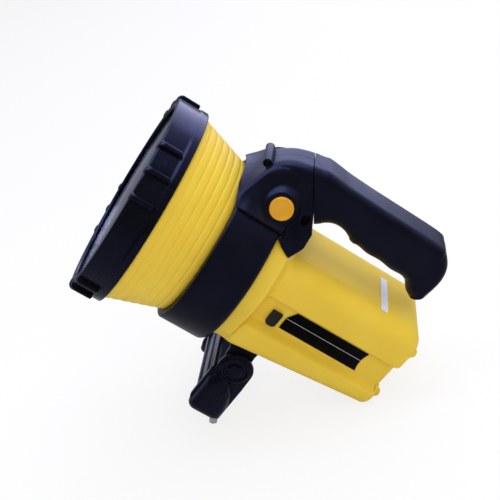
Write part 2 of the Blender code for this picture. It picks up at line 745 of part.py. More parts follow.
PIVOT_X = BODY_FRONT + PIVOT_SETBACK
PIVOT_Z = body_bottom(PIVOT_X) - BRACKET_PLATE - LEG_CLEARANCE - LEG_HUB_RADIUS
LEG_FRONT = PIVOT_X - LEG_FRONT_REACH
LEG_BACK = PIVOT_X + LEG_BACK_REACH
LEG_BOTTOM = PIVOT_Z - LEG_LENGTH
EAR_OUTSIDE = BODY_HALF_WIDTH - EAR_INSET
LEG_INSIDE = EAR_OUTSIDE + LEG_SIDE_GAP
LEG_OUTSIDE = LEG_INSIDE + LEG_HUB_THICKNESS + FOOT_DEPTH
PAD_Y = LEG_INSIDE + PAD_SETBACK
WEB_TOP = PIVOT_Z - WEB_TOP_DROP
WEB_BOTTOM = PIVOT_Z - WEB_BOTTOM_DROP
BRACKET_FRONT = LEG_FRONT + BRACKET_FRONT_INSET
BRACKET_BACK = LEG_BACK - BRACKET_BACK_INSET
BRACKET_SCREW_X = PIVOT_X - BRACKET_SCREW_SETBACK


def rounded_drop(x, end, radius):
    """How far a quarter circle of this radius has drawn a face in at x, before the end it rounds."""
    past = max(0.0, min(1.0, (x - end) / radius + 1))
    return radius * (1 - math.sqrt(1 - past * past))


def body_ring(x, wall=0.0):
    """One closed ring of the housing's box at x, or of the hollow a wall inside it."""
    inset = rounded_drop(x, BODY_BACK - wall, BODY_BACK_EDGE) + wall
    drop = rounded_drop(x, BODY_BACK - wall, BODY_BACK_TOP_DROP) + wall
    right = body_half_section(
        BODY_HALF_WIDTH - inset, BODY_TOP - drop, body_bottom(x) + inset,
        max(BODY_TOP_CORNER - drop, BODY_TOP_CORNER * CORNER_SHARE),
        max(BODY_BOTTOM_CORNER - inset, BODY_BOTTOM_CORNER * CORNER_SHARE), CHANNEL_DEPTH)
    left = [(-y, z) for y, z in reversed(right[1:-1])]
    return [(x, y, z) for y, z in right + left]


def ring_stations(wall=0.0):
    """Where the housing's rings lie, closer together along the rounded rear edge."""
    rear = BODY_BACK - wall
    return [BODY_FRONT + wall] + [rear - BODY_BACK_TOP_DROP * share for share in REAR_SHARES]


def neck_ring(x, radius, like):
    """A circle whose points lie at about the same angles as a box ring's points, in the same order."""
    half = len(like) // 2 + 1
    angles = [math.atan2(z, y) for _, y, z in like[:half]]
    least = math.radians(NECK_LEAST_STEP)
    for i in range(1, half - 1):
        angles[i] = min(angles[i], angles[i - 1] - least)
    right = [(radius * math.cos(angle), radius * math.sin(angle)) for angle in angles]
    left = [(-y, z) for y, z in reversed(right[1:-1])]
    return [(x, y, z) for y, z in right + left]


def body_housing():
    first = body_ring(BODY_FRONT)
    shoulder = (BODY_FRONT - NECK_END) / 2
    half = [tuple(blend(a, b, SHOULDER_SHARE) for a, b in zip(p, q))
            for p, q in zip(neck_ring(NECK_END + shoulder, NECK_RADIUS, first), first)]
    outer = [neck_ring(NECK_FRONT, NECK_RADIUS, first), neck_ring(NECK_END, NECK_RADIUS, first), half]
    shell = loft("body_housing", outer + [body_ring(x) for x in ring_stations()])
    cut(shell, ground_slab("housing_flat"))
    passage = rod("hollow_neck", (NECK_FRONT - OVERRUN, 0, 0), (1, 0, 0),
                  NECK_END - NECK_FRONT + OVERRUN, NECK_RADIUS - BODY_WALL, 48)
    throat = [(NECK_END - OVERRUN, y * THROAT_SHARE, z * THROAT_SHARE)
              for _, y, z in body_ring(BODY_FRONT, BODY_WALL)]
    chamber = loft("hollow_chamber", [throat] + [body_ring(x, BODY_WALL) for x in ring_stations(BODY_WALL)])
    cut(shell, passage, chamber)
    for side in (-1, 1):
        for y, z in ((BODY_HALF_WIDTH - NUB_TOP_INSET, BODY_TOP - NUB_TOP_DROP),
                     (BODY_HALF_WIDTH - NUB_LOW_INSET, BODY_BOTTOM_BACK + NUB_LOW_RISE)):
            fuse(shell, rod("rear_nub", (BODY_BACK - BODY_WALL, side * y, z), (1, 0, 0),
                            NUB_HEIGHT + BODY_WALL, NUB_RADIUS, 12, NUB_RADIUS * NUB_SHARE))
    cut(shell, rod("socket_hole", (SOCKET_X, -CHANNEL_Y - OVERRUN, SOCKET_Z), (0, 1, 0),
                   BODY_WALL + OVERRUN * 2, SOCKET_RADIUS + GAP, 16))
    below = body_bottom(BRACKET_SCREW_X) - OVERRUN * 2
    for side in (-1, 1):
        cut(shell, rod("bracket_screw_hole", (BRACKET_SCREW_X, side * BRACKET_SCREW_Y, below),
                       (0, 0, 1), BODY_WALL + OVERRUN * 4, SCREW_RADIUS + GAP, 12))
        cut(shell, rod("saddle_screw_hole", *saddle_screw_line(side, NECK_RADIUS + OVERRUN),
                       BODY_WALL + OVERRUN * 2, SCREW_RADIUS + GAP, 12))
    return finish(shell, "body_housing", "yellow")


def saddle_screw_line(side, radius):
    """Start and direction of a screw that holds the handle to the neck, from a radius inwards."""
    angle = math.radians(SADDLE_SCREW_ANGLE) * side
    outward = Vector((0, math.sin(angle), math.cos(angle)))
    return Vector((SADDLE_SCREW_X, 0, 0)) + outward * radius, -outward


def side_details():
    for side, name in ((-1, "side_label_near"), (1, "side_label_far")):
        low = (LABEL_FRONT, CHANNEL_Y + GAP, CHANNEL_MIDDLE - LABEL_HEIGHT / 2)
        high = (LABEL_FRONT + LABEL_LENGTH, CHANNEL_Y + GAP + LABEL_THICKNESS,
                CHANNEL_MIDDLE + LABEL_HEIGHT / 2)
        if side < 0:
            low, high = (low[0], -high[1], low[2]), (high[0], -low[1], high[2])
        finish(box(name, low, high), name, "label")
    flat = BODY_HALF_WIDTH - BODY_TOP_CORNER
    base = BODY_TOP + GAP
    finish(box("top_sticker", (STICKER_X - STICKER_WIDTH / 2, -flat, base),
               (STICKER_X + STICKER_WIDTH / 2, -flat + STICKER_LENGTH, base + STICKER_THICKNESS)),
           "top_sticker", "white")


# Where the lamp stands: on a line under its leg's pads and its lower rear edge.

PAD_X = LEG_BACK - PAD_RADIUS - PAD_INSET
PAD_Z = LEG_BOTTOM + PAD_RADIUS - PAD_INSET
HEEL_X = BODY_BACK - BODY_BACK_EDGE
HEEL_Z = body_bottom(HEEL_X) + BODY_BACK_EDGE


def ground_line():
    """Slope of the line under both circles, in radians, and its depth below the beam's axis origin."""
    pad = PAD_RADIUS - FLAT_DEPTH
    heel = BODY_BACK_EDGE - HEEL_FLAT_DEPTH
    step = Vector((HEEL_X - PAD_X, HEEL_Z - PAD_Z))
    slope = math.atan2(step.y, step.x) + math.asin((pad - heel) / step.length)
    down = Vector((math.sin(slope), -math.cos(slope)))
    return slope, Vector((PAD_X, PAD_Z)).dot(down) + pad


PITCH, GROUND_DEPTH = ground_line()


def ground_slab(name):
    """Everything below the ground, as a cutter in the lamp's frame."""
    slab = box(name, (-SLAB_SIZE, -SLAB_SIZE, -SLAB_SIZE), (SLAB_SIZE, SLAB_SIZE, 0))
    down = Vector((math.sin(PITCH), 0, -math.cos(PITCH)))
    slab.matrix_basis = Matrix.Translation(down * GROUND_DEPTH) @ Matrix.Rotation(-PITCH, 4, "Y")
    return slab


# Inside the battery housing.

def battery_parts():
    half = BATTERY_WIDTH / 2
    top = BATTERY_TOP
    bottom = top - BATTERY_HEIGHT
    battery = box("battery", (BATTERY_FRONT, -half, bottom), (BATTERY_BACK, half, top))
    for side in (-1, 1):
        inner, outer = side * half / 2 - TERMINAL_WIDTH / 2, side * half / 2 + TERMINAL_WIDTH / 2
        fuse(battery, box("battery_terminal", (BATTERY_FRONT - TERMINAL_LENGTH, inner, top / 2),
                          (BATTERY_FRONT + OVERRUN, outer, top / 2 + TERMINAL_THICKNESS)))
    finish(battery, "battery", "battery")
    finish(box("battery_pad", (BATTERY_BACK + GAP, -half * PAD_SHARE, bottom * PAD_SHARE),
               (BATTERY_BACK + GAP + PAD_THICKNESS, half * PAD_SHARE, top * PAD_SHARE)),
           "battery_pad", "foam")
    finish(box("battery_strip", (BATTERY_FRONT + STRIP_FRONT_INSET, -half * PAD_SHARE, top + GAP),
               (BATTERY_BACK - STRIP_BACK_INSET, half * PAD_SHARE, top + GAP + STRIP_THICKNESS)),
           "battery_strip", "foam")
    board = box("circuit_board", (BOARD_X, -BOARD_WIDTH / 2, BOARD_Z),
                (BOARD_X + BOARD_LENGTH, BOARD_WIDTH / 2, BOARD_Z + BOARD_THICKNESS))
    fuse(board, box("relay", (BOARD_X + RELAY_SIZE, -RELAY_SIZE / 2, BOARD_Z + BOARD_THICKNESS / 2),
                    (BOARD_X + RELAY_SIZE * 2, RELAY_SIZE / 2, BOARD_Z + BOARD_THICKNESS + RELAY_SIZE)))
    finish(board, "circuit_board", "board")


def lead(name, points, colour):
    """An insulated wire through the given points."""
    curve = bpy.data.curves.new(name, "CURVE")
    curve.dimensions = "3D"
    curve.bevel_depth = LEAD_RADIUS
    curve.bevel_resolution = 1
    curve.resolution_u = 5
    curve.render_resolution_u = 0
    curve.use_fill_caps = True
    spline = curve.splines.new("BEZIER")
    spline.bezier_points.add(len(points) - 1)
    for knot, point in zip(spline.bezier_points, points):
        knot.co = point
        knot.handle_left_type = "AUTO"
        knot.handle_right_type = "AUTO"
    return finish(add_object(name, curve), name, colour)


def leads():
    z = BATTERY_TOP / 2 + TERMINAL_THICKNESS / 2
    for side, name in ((-1, "lead_near"), (1, "lead_far")):
        lead(name, [
            (HOLDER_BACK + LEAD_RADIUS, side * HOLDER_RADIUS / 2, 0),
            (HOLDER_BACK + LEAD_SWING, side * LEAD_SWING, -LEAD_SWING / 2),
            (BATTERY_FRONT - TERMINAL_LENGTH - LEAD_SWING / 2, side * LEAD_SWING, z / 2),
            (BATTERY_FRONT - TERMINAL_LENGTH - LEAD_RADIUS - GAP, side * BATTERY_WIDTH / 4, z),
        ], "rubber")


def charging():
    start = (SOCKET_X, -CHANNEL_Y, SOCKET_Z)
    finish(turned("charge_socket", [
        (SOCKET_LENGTH, 0), (SOCKET_LENGTH, SOCKET_RADIUS), (0, SOCKET_RADIUS), (0, SOCKET_BORE),
        (SOCKET_LENGTH - SOCKET_BACK, SOCKET_BORE), (SOCKET_LENGTH - SOCKET_BACK, 0)],
        start, (0, 1, 0), 24), "charge_socket", "black_satin")
    outer = -CHANNEL_Y - GAP
    low = (SOCKET_X - CAP_LENGTH / 2, outer - CAP_THICKNESS, SOCKET_Z - CAP_HEIGHT / 2)
    high = (SOCKET_X + CAP_LENGTH / 2, outer, SOCKET_Z + CAP_HEIGHT / 2)
    cap = box("socket_cap", low, high)
    plug = rod("socket_plug", (SOCKET_X, outer - CAP_THICKNESS / 2, SOCKET_Z), (0, 1, 0),
               CAP_THICKNESS / 2 + GAP + CAP_PLUG_LENGTH, CAP_PLUG_RADIUS, 16)
    set_origin(cap, SOCKET_X, outer, SOCKET_Z + CAP_HEIGHT / 2)
    fuse(cap, plug)
    finish(cap, "socket_cap", "rubber")


# Handle front: two halves over the band, with a flared saddle and a skirt behind it.

SEAM_AXIS = Vector((math.cos(math.radians(SEAM_TILT)), 0, math.sin(math.radians(SEAM_TILT))))
SEAM_POINT = Vector((SEAM_X, 0, SEAM_Z))


def seam_slab(name, start, end):
    """A slab between two distances behind the handle's slanted joint."""
    slab = box(name, (-SLAB_SIZE, -SLAB_SIZE, start), (SLAB_SIZE, SLAB_SIZE, end))
    slab.matrix_basis = Matrix.Translation(SEAM_POINT) @ direction_matrix(SEAM_AXIS)
    return slab


def head_place(along, rise):
    """A point, (x, z), at a share of the front's length and of its rise above the band."""
    return HEAD_FRONT + HEAD_LENGTH * along, BAND_RADIUS + HEAD_RISE * rise


def head_ring(along, rise, lip_angle, lip, side):
    """One half of the handle front's section, a closed ring from the parting line outwards."""
    x, top = head_place(along, rise)
    lip_radius = blend(NECK_LIP, BAND_LIP, lip)
    floor = NECK_RADIUS * HEAD_FLOOR_SHARE
    half = HANDLE_HALF_WIDTH
    corner = HANDLE_CORNER if top - lip_radius > HANDLE_CORNER * 2 else (top - lip_radius) / 2
    points = [(HEAD_SPLIT / 2, top)]
    points += arc(half - corner, top - corner, corner, 90, 0, 3)
    start = math.hypot(half, top - corner)
    first = math.atan2(half, top - corner)
    last = math.radians(lip_angle)
    for i in range(1, FLARE_STEPS + 1):
        share = i / FLARE_STEPS
        radius = lip_radius + (start - lip_radius) * (1 - share) ** FLARE_POWER
        angle = blend(first, last, share)
        points.append((radius * math.sin(angle), radius * math.cos(angle)))
    points.append((floor * math.tan(last), floor))
    points.append((HEAD_SPLIT / 2, floor))
    return [(x, side * y, z) for y, z in points]


def skirt(side):
    """Curved fin that hugs the neck behind the band and runs down to a point."""
    inner = NECK_RADIUS - OVERRUN
    outer = NECK_RADIUS + GAP + FIN_THICKNESS
    front = BAND_BACK + GAP
    rings = []
    for angle in SKIRT_ANGLES:
        past = max(0.0, (angle - FIN_START_ANGLE) / (SKIRT_ANGLES[-1] - FIN_START_ANGLE))
        low = front + (FIN_BACK - front - FIN_TIP) * past ** FIN_POWER
        turn = math.radians(angle) * side
        rings.append([(x, r * math.sin(turn), r * math.cos(turn))
                      for x, r in ((low, inner), (low, outer), (FIN_BACK, outer), (FIN_BACK, inner))])
    return loft("skirt", rings)


CAVITY_FLOOR = BAND_RADIUS + HEAD_WALL
CAVITY_LOW = NECK_RADIUS + HEAD_WALL * CAVITY_STEP_SHARE
CAVITY_TOP = BAND_RADIUS + HEAD_RISE * CAVITY_TOP_SHARE


def head_cavity(side):
    """Hollow of one half, open at the parting line and closed in front of the slanted joint."""
    slope = -SEAM_AXIS.z / SEAM_AXIS.x
    back = [(SEAM_X - HEAD_WALL * SEAM_WALL_SHARE / SEAM_AXIS.x + slope * (z - SEAM_Z), z)
            for z in (CAVITY_LOW, CAVITY_TOP)]
    step = BAND_BACK + HEAD_STEP
    front = [head_place(*share) for share in CAVITY_SHARES]
    outline = [(HEAD_FRONT + HEAD_LENGTH * CAVITY_FRONT_SHARE, CAVITY_FLOOR)] + front
    outline += [back[1], back[0], (step, CAVITY_LOW), (step, CAVITY_FLOOR)]
    width = HANDLE_HALF_WIDTH - HEAD_WALL
    return prism("head_cavity", outline, -OVERRUN * side, width * side)


BUTTON_AXIS = Vector((0, -math.cos(math.radians(BUTTON_TILT)), math.sin(math.radians(BUTTON_TILT))))
BUTTON_FACE = Vector((BUTTON_X, -BUTTON_Y, BUTTON_Z))


def switch_well():
    """Thin-walled cup around the recess, down to the level of the boss."""
    bore = BUTTON_RADIUS + RUN_GAP + WELL_WALL
    well = SWITCH_RADIUS + GAP + WELL_WALL
    end = SWITCH_END + GAP + WELL_WALL
    floor = BORE_DEPTH + WELL_WALL
    top = BUTTON_PROUD + OVERRUN
    return turned("switch_well", [
        (end, 0), (end, well), (floor, well), (floor, bore), (top, bore), (top, 0)],
        BUTTON_FACE, -BUTTON_AXIS, 32)


def button_bore(name, clearance):
    """Stepped recess of the button and its switch, from the button's face inwards."""
    bore = BUTTON_RADIUS + RUN_GAP + clearance
    well = SWITCH_RADIUS + GAP + clearance
    end = SWITCH_END + GAP + clearance
    floor = BORE_DEPTH + clearance
    return turned(name, [
        (end, 0), (end, well), (floor, well), (floor, bore), (-BOSS_DEPTH, bore), (-BOSS_DEPTH, 0)],
        BUTTON_FACE, -BUTTON_AXIS, 32)


def handle_head():
    for side, name in ((-1, "handle_head_near"), (1, "handle_head_far")):
        half = loft(name, [head_ring(*station, side) for station in HEAD_SHARES])
        fuse(half, skirt(side))
        if side < 0:
            fuse(half, rod("button_boss", BUTTON_FACE - BUTTON_AXIS * BUTTON_PROUD, -BUTTON_AXIS,
                           BOSS_DEPTH, BOSS_RADIUS, 32, BOSS_RADIUS + BOSS_SPREAD))
        front, step, back = HEAD_FRONT - OVERRUN, BAND_BACK + GAP, HEAD_BACK + OVERRUN
        cut(half, turned("saddle_clearance", [
            (back, 0), (back, NECK_RADIUS + GAP), (step, NECK_RADIUS + GAP),
            (step, BAND_RADIUS + GAP), (front, BAND_RADIUS + GAP), (front, 0)], steps=96))
        if side < 0:
            fuse(half, switch_well())
        cut(half, head_cavity(side))
        cut(half, seam_slab("seam_cut", -SEAM_GAP / 2, SLAB_SIZE))
        posts(half, side)
        if side < 0:
            cut(half, button_bore("button_recess", 0.0))
        cut(half, rod("bar_hole", (BAR_X, -BAR_LENGTH, BAR_Z), (0, 1, 0), BAR_LENGTH * 2,
                      BAR_RADIUS + GAP, 20))
        cut(half, rod("spindle_hole", SEAM_POINT - SEAM_AXIS * SPINDLE_FRONT, SEAM_AXIS,
                      SPINDLE_FRONT + OVERRUN, SPINDLE_RADIUS + RUN_GAP, 24))
        start, inward = saddle_screw_line(side, NECK_RADIUS - OVERRUN)
        cut(half, rod("saddle_hole", start, -inward, SADDLE_SCREW_SEAT, SCREW_RADIUS + GAP, 12))
        start, inward = saddle_screw_line(side, SADDLE_SCREW_SEAT)
        cut(half, rod("saddle_bore", start, -inward, SADDLE_SCREW_SEAT, SCREW_HEAD_RADIUS + GAP, 16))
        finish(half, name, "black_satin")


def shell_screw_places():
    """Where the screws that join the halves lie, (x, z)."""
    return [head_place(*share) for share in SHELL_SCREW_SHARES]


def posts(half, side):
    """Posts inside one half for the screws that join the halves."""
    inner = side * HEAD_SPLIT / 2
    for x, z in shell_screw_places():
        fuse(half, rod("post", (x, inner, z), (0, side, 0), HANDLE_HALF_WIDTH - HEAD_SPLIT,
                       SHELL_POST_RADIUS, 16))
        if side > 0:
            cut(half, rod("screw_way", (x, inner - OVERRUN, z), (0, 1, 0), SLAB_SIZE, SCREW_RADIUS + GAP, 12),
                rod("screw_seat", (x, SHELL_SEAT, z), (0, 1, 0), SLAB_SIZE, SCREW_HEAD_RADIUS + GAP, 16))
        else:
            cut(half, rod("screw_blind", (x, inner + OVERRUN, z), (0, -1, 0),
                          SCREW_LENGTH, SCREW_RADIUS + GAP, 12))


def inset_outline(points, distance):
    """Draws a closed outline in by a distance, along the mean normal at each point."""
    count = len(points)
    area = sum(points[i][0] * points[(i + 1) % count][1] - points[(i + 1) % count][0] * points[i][1]
               for i in range(count))
    turn = 1 if area > 0 else -1
    moved = []
    for i in range(count):
        before = (Vector(points[i]) - Vector(points[i - 1])).normalized()
        after = (Vector(points[(i + 1) % count]) - Vector(points[i])).normalized()
        normal = (Vector((-before.y, before.x)) + Vector((-after.y, after.x))).normalized() * turn
        lean = max(normal.dot(Vector((-before.y, before.x)) * turn), MITRE_LIMIT)
        moved.append(tuple(Vector(points[i]) + normal * (distance / lean)))
    return moved


def rounded_prism(name, outline, half_width, corner, centre=0.0):
    """An outline across y whose two side edges are rounded."""
    rings = []
    turns = [math.radians(angle) for angle in CORNER_ANGLES]
    for sign in (-1, 1):
        row = [[(x, centre + sign * (half_width - corner + corner * math.cos(turn)), z)
                for x, z in inset_outline(outline, corner * (1 - math.sin(turn)))] for turn in turns]
        rings += row if sign < 0 else row[::-1]
    return loft(name, rings)


def grip_ring(top, low):
    """A rounded rectangle across y between a top point and a lower one."""
    top, low = Vector(top), Vector(low)
    height = (top - low).length
    corner = min(HANDLE_CORNER, height * TIP_CORNER_SHARE)
    half = HANDLE_HALF_WIDTH
    outline = arc(half - corner, height - corner, corner, 0, 90, 4)
    outline += arc(corner - half, height - corner, corner, 90, 180, 4)
    outline += arc(corner - half, corner, corner, 180, 270, 4)
    outline += arc(half - corner, corner, corner, 270, 360, 4)
    up = (top - low).normalized()
    return [(low.x + up.x * rise, y, low.y + up.y * rise) for y, rise in outline]


def grip_pairs(shares):
    """Pairs of points, (x, z), on the grip's upper and lower edge."""
    return [tuple((SEAM_X + GRIP_LENGTH * along, HEAD_TOP - GRIP_DROP * down) for along, down in pair)
            for pair in shares]


def handle_grip():
    front, back = grip_pairs(GRIP_FRONT_SHARES), grip_pairs(GRIP_BACK_SHARES)
    first, last = front[-1], back[0]
    wave_back = SEAM_X + GRIP_LENGTH * WAVE_BACK_SHARE
    waves = []
    for i in range(1, WAVE_POINTS):
        share = i / WAVE_POINTS
        lift = GRIP_WAVE * (1 - math.cos(math.tau * GRIP_WAVES * share)) / 2
        x = blend(first[1][0], wave_back, share)
        waves.append(((blend(first[0][0], last[0][0], share), first[0][1]),
                      (x, first[1][1] - WAVE_DROP * share + lift)))
    grip = loft("handle_grip", [grip_ring(*pair) for pair in front + waves + back])
    set_origin(grip, *SEAM_POINT)
    cut(grip, seam_slab("grip_cut", -SLAB_SIZE, SEAM_GAP / 2))
    cut(grip, rod("spindle_bore", SEAM_POINT - SEAM_AXIS * OVERRUN, SEAM_AXIS,
                  SPINDLE_BACK + OVERRUN * 2, SPINDLE_RADIUS + GAP, 24))
    finish(grip, "handle_grip", "black_satin")


def swivel():
    """Bolt of the slanted joint, with its washer and the coil that pulls the joint closed."""
    wall = HEAD_WALL * SEAM_WALL_SHARE
    washer = wall + GAP + WASHER_THICKNESS
    head = SPINDLE_FRONT - SPINDLE_HEAD_THICKNESS
    finish(turned("swivel_spindle", [
        (SPINDLE_BACK, 0), (SPINDLE_BACK, SPINDLE_RADIUS), (-head, SPINDLE_RADIUS),
        (-head, SPINDLE_HEAD_RADIUS), (-SPINDLE_FRONT, SPINDLE_HEAD_RADIUS), (-SPINDLE_FRONT, 0)],
        SEAM_POINT, SEAM_AXIS, 24), "swivel_spindle", "steel")
    finish(tube("swivel_washer", SEAM_POINT - SEAM_AXIS * washer, SEAM_AXIS, WASHER_THICKNESS,
                SPINDLE_HEAD_RADIUS, SPINDLE_RADIUS + GAP, 24), "swivel_washer", "steel")
    length = head - washer - GAP * 2
    finish(coil("swivel_spring", SEAM_POINT - SEAM_AXIS * (head - GAP), SEAM_AXIS, length,
                SPINDLE_RADIUS + SPRING_WIRE, SPRING_WIRE, SPRING_TURNS), "swivel_spring", "steel")


def button_and_bar():
    button = turned("push_button", [
        (STEM_END, 0), (STEM_END, BUTTON_STEM_RADIUS), (BUTTON_HEIGHT, BUTTON_STEM_RADIUS),
        (BUTTON_HEIGHT, BUTTON_RADIUS), (BUTTON_EDGE, BUTTON_RADIUS),
        (BUTTON_EDGE * EDGE_SHARE, BUTTON_RADIUS - BUTTON_EDGE * EDGE_SHARE),
        (0, BUTTON_RADIUS - BUTTON_EDGE), (0, 0)],
        BUTTON_FACE, -BUTTON_AXIS, 40)
    finish(button, "push_button", "button_yellow")
    start = SWITCH_END - SWITCH_DEPTH
    finish(turned("switch_body", [
        (SWITCH_END, 0), (SWITCH_END, SWITCH_RADIUS), (start, SWITCH_RADIUS),
        (start, BUTTON_STEM_RADIUS + RUN_GAP),
        (SWITCH_END - SWITCH_BACK, BUTTON_STEM_RADIUS + RUN_GAP), (SWITCH_END - SWITCH_BACK, 0)],
        BUTTON_FACE, -BUTTON_AXIS, 24), "switch_body", "black_satin")
    finish(tube("strap_bar", (BAR_X, -BAR_LENGTH / 2, BAR_Z), (0, 1, 0), BAR_LENGTH,
                BAR_RADIUS, BAR_BORE, 20), "strap_bar", "black_satin")


# Fold-out leg, its bracket and pin.

HUB = Vector((PIVOT_X, 0, PIVOT_Z))


def cheek_outline():
    """Side view of one cheek, from the hub's top round to the front."""
    points = [(PIVOT_X + x, PIVOT_Z + z) for x, z in arc(0, 0, LEG_HUB_RADIUS, 175, 0, 10)]
    points += [(LEG_BACK, PIVOT_Z - LEG_HUB_RADIUS), (LEG_BACK, LEG_BOTTOM + LEG_HEEL)]
    points += [(LEG_BACK - LEG_HEEL, LEG_BOTTOM)]
    toe = LEG_TOE_RADIUS
    points += arc(LEG_FRONT + toe, LEG_BOTTOM + toe, toe, 270, 180, 5)
    points += [(LEG_FRONT, WEB_TOP), (LEG_FRONT + LEG_HEEL, WEB_TOP + LEG_HEEL)]
    return points


def foot_outline():
    """Side view of the foot's bulge, whose upper edge runs down towards the rear."""
    toe = LEG_TOE_RADIUS
    depth = LEG_BACK - LEG_FRONT
    points = [(LEG_FRONT + depth * along, LEG_BOTTOM + LEG_LENGTH * rise) for along, rise in FOOT_SHARES]
    points += [(LEG_BACK, LEG_BOTTOM + LEG_HEEL), (LEG_BACK - LEG_HEEL, LEG_BOTTOM)]
    points += arc(LEG_FRONT + toe, LEG_BOTTOM + toe, toe, 270, 180, 5)
    points += [(LEG_FRONT, LEG_BOTTOM + LEG_LENGTH * FOOT_FRONT_SHARE)]
    return points


def stand_leg():
    leg = None
    middle = LEG_INSIDE + LEG_HUB_THICKNESS / 2
    foot_x, foot_z = PIVOT_X - FOOT_SETBACK, PIVOT_Z - FOOT_DROP
    for side in (-1, 1):
        cheek = rounded_prism("cheek", cheek_outline(), LEG_HUB_THICKNESS / 2, LEG_EDGE, side * middle)
        rings = []
        for share in BULGE_SHARES:
            y = blend(middle, LEG_OUTSIDE, share)
            scale = FOOT_SCALE * (1 - LEG_BULGE * (1 - math.sqrt(1 - share ** 2)))
            rings.append([(blend(foot_x, x, scale), side * y, blend(foot_z, z, scale))
                          for x, z in foot_outline()])
        foot = loft("foot", rings)
        if leg is None:
            leg = cheek
            leg.name = "stand_leg"
        else:
            fuse(leg, cheek)
        fuse(leg, foot)
    front = LEG_FRONT + WEB_SETBACK
    fuse(leg, box("web", (front, -middle, WEB_BOTTOM), (front + WEB_THICKNESS, middle, WEB_TOP)))
    for i in range(WEB_RIBS + 1):
        z = blend(WEB_BOTTOM, WEB_TOP, i / WEB_RIBS)
        low, high = z - WEB_THICKNESS / 2, z + WEB_THICKNESS / 2
        fuse(leg, box("web_rib", (front - WEB_RIB_HEIGHT, -middle, low),
                      (front + WEB_THICKNESS / 2, middle, high)))
    set_origin(leg, *HUB)
    cut(leg, rod("pin_way", (PIVOT_X, -LEG_OUTSIDE - OVERRUN, PIVOT_Z), (0, 1, 0),
                 (LEG_OUTSIDE + OVERRUN) * 2, PIN_RADIUS + RUN_GAP, 20))
    for side, name in ((-1, "foot_pad_near"), (1, "foot_pad_far")):
        pad_low = (PAD_X, side * (PAD_Y - PAD_LENGTH / 2), PAD_Z)
        cut(leg, rod("pad_way", (PAD_X, side * (PAD_Y - PAD_LENGTH / 2 - GAP), PAD_Z), (0, side, 0),
                     PAD_LENGTH + GAP * 2, PAD_RADIUS + GAP, 20))
        pad = rod(name, pad_low, (0, side, 0), PAD_LENGTH, PAD_RADIUS, 24)
        cut(pad, ground_slab("pad_flat"))
        finish(pad, name, "grey")
    cut(leg, ground_slab("leg_flat"))
    finish(leg, "stand_leg", "black_gloss")


def stand_bracket():
    front, back = BRACKET_FRONT + GAP, BRACKET_BACK - GAP
    plate = [(front, body_bottom(front) - GAP), (back, body_bottom(back) - GAP),
             (back, body_bottom(back) - BRACKET_PLATE), (front, body_bottom(front) - BRACKET_PLATE)]
    bracket = prism("stand_bracket", plate, GAP - EAR_OUTSIDE, EAR_OUTSIDE - GAP)
    for side in (-1, 1):
        cut(bracket, rod("screw_hole", (BRACKET_SCREW_X, side * BRACKET_SCREW_Y, PIVOT_Z), (0, 0, 1),
                         -PIVOT_Z, SCREW_RADIUS + GAP, 16))
    front, back = BRACKET_FRONT, BRACKET_BACK
    lift = BRACKET_PLATE / 2
    ear = [(front, body_bottom(front) - lift), (back, body_bottom(back) - lift)]
    ear += [(PIVOT_X + x, PIVOT_Z + z) for x, z in arc(0, 0, EAR_REACH, 20, -200, 14)]
    for side in (-1, 1):
        fuse(bracket, prism("ear", ear, side * (EAR_OUTSIDE - EAR_THICKNESS), side * EAR_OUTSIDE))
    cut(bracket, rod("pin_hole", (PIVOT_X, -EAR_OUTSIDE - OVERRUN, PIVOT_Z), (0, 1, 0),
                     (EAR_OUTSIDE + OVERRUN) * 2, PIN_RADIUS + RUN_GAP, 20))
    finish(bracket, "stand_bracket", "black_satin")


def pin_and_screws():
    reach = LEG_INSIDE + LEG_HUB_THICKNESS + GAP
    tail = reach + CLIP_THICKNESS + PIN_TAIL
    finish(turned("pivot_pin", [
        (reach + tail, 0), (reach + tail, PIN_RADIUS), (0, PIN_RADIUS), (0, PIN_HEAD_RADIUS),
        (-PIN_HEAD_THICKNESS / 2, PIN_HEAD_RADIUS),
        (-PIN_HEAD_THICKNESS, PIN_HEAD_RADIUS - PIN_HEAD_THICKNESS / 2), (-PIN_HEAD_THICKNESS, 0)],
        (PIVOT_X, -reach, PIVOT_Z), (0, 1, 0), 24), "pivot_pin", "black_gloss")
    finish(tube("pin_clip", (PIVOT_X, reach, PIVOT_Z), (0, 1, 0), CLIP_THICKNESS, PIN_HEAD_RADIUS,
                PIN_RADIUS + GAP, 20), "pin_clip", "steel")
    for side, name in ((-1, "near"), (1, "far")):
        z = body_bottom(BRACKET_SCREW_X) - BRACKET_PLATE - SCREW_CLEAR
        screw("bracket_screw_" + name, (BRACKET_SCREW_X, side * BRACKET_SCREW_Y, z), (0, 0, 1), SCREW_LENGTH)
        start, inward = saddle_screw_line(side, SADDLE_SCREW_SEAT + GAP)
        screw("saddle_screw_" + name, start, inward, SCREW_LENGTH)
    for number, (x, z) in enumerate(shell_screw_places(), 1):
        screw(f"shell_screw_{number}", (x, SHELL_SEAT + GAP, z), (0, -1, 0), SHELL_SCREW_LENGTH)


def screw(name, seat, axis, length):
    """A screw whose head rests on a seat and whose shank runs along an axis."""
    finish(turned(name, [
        (length, 0), (length, SCREW_RADIUS), (0, SCREW_RADIUS), (0, SCREW_HEAD_RADIUS),
        (-SCREW_HEAD_THICKNESS / 2, SCREW_HEAD_RADIUS), (-SCREW_HEAD_THICKNESS, SCREW_RADIUS),
        (-SCREW_HEAD_THICKNESS, 0)], seat, axis, 16), name, "steel")


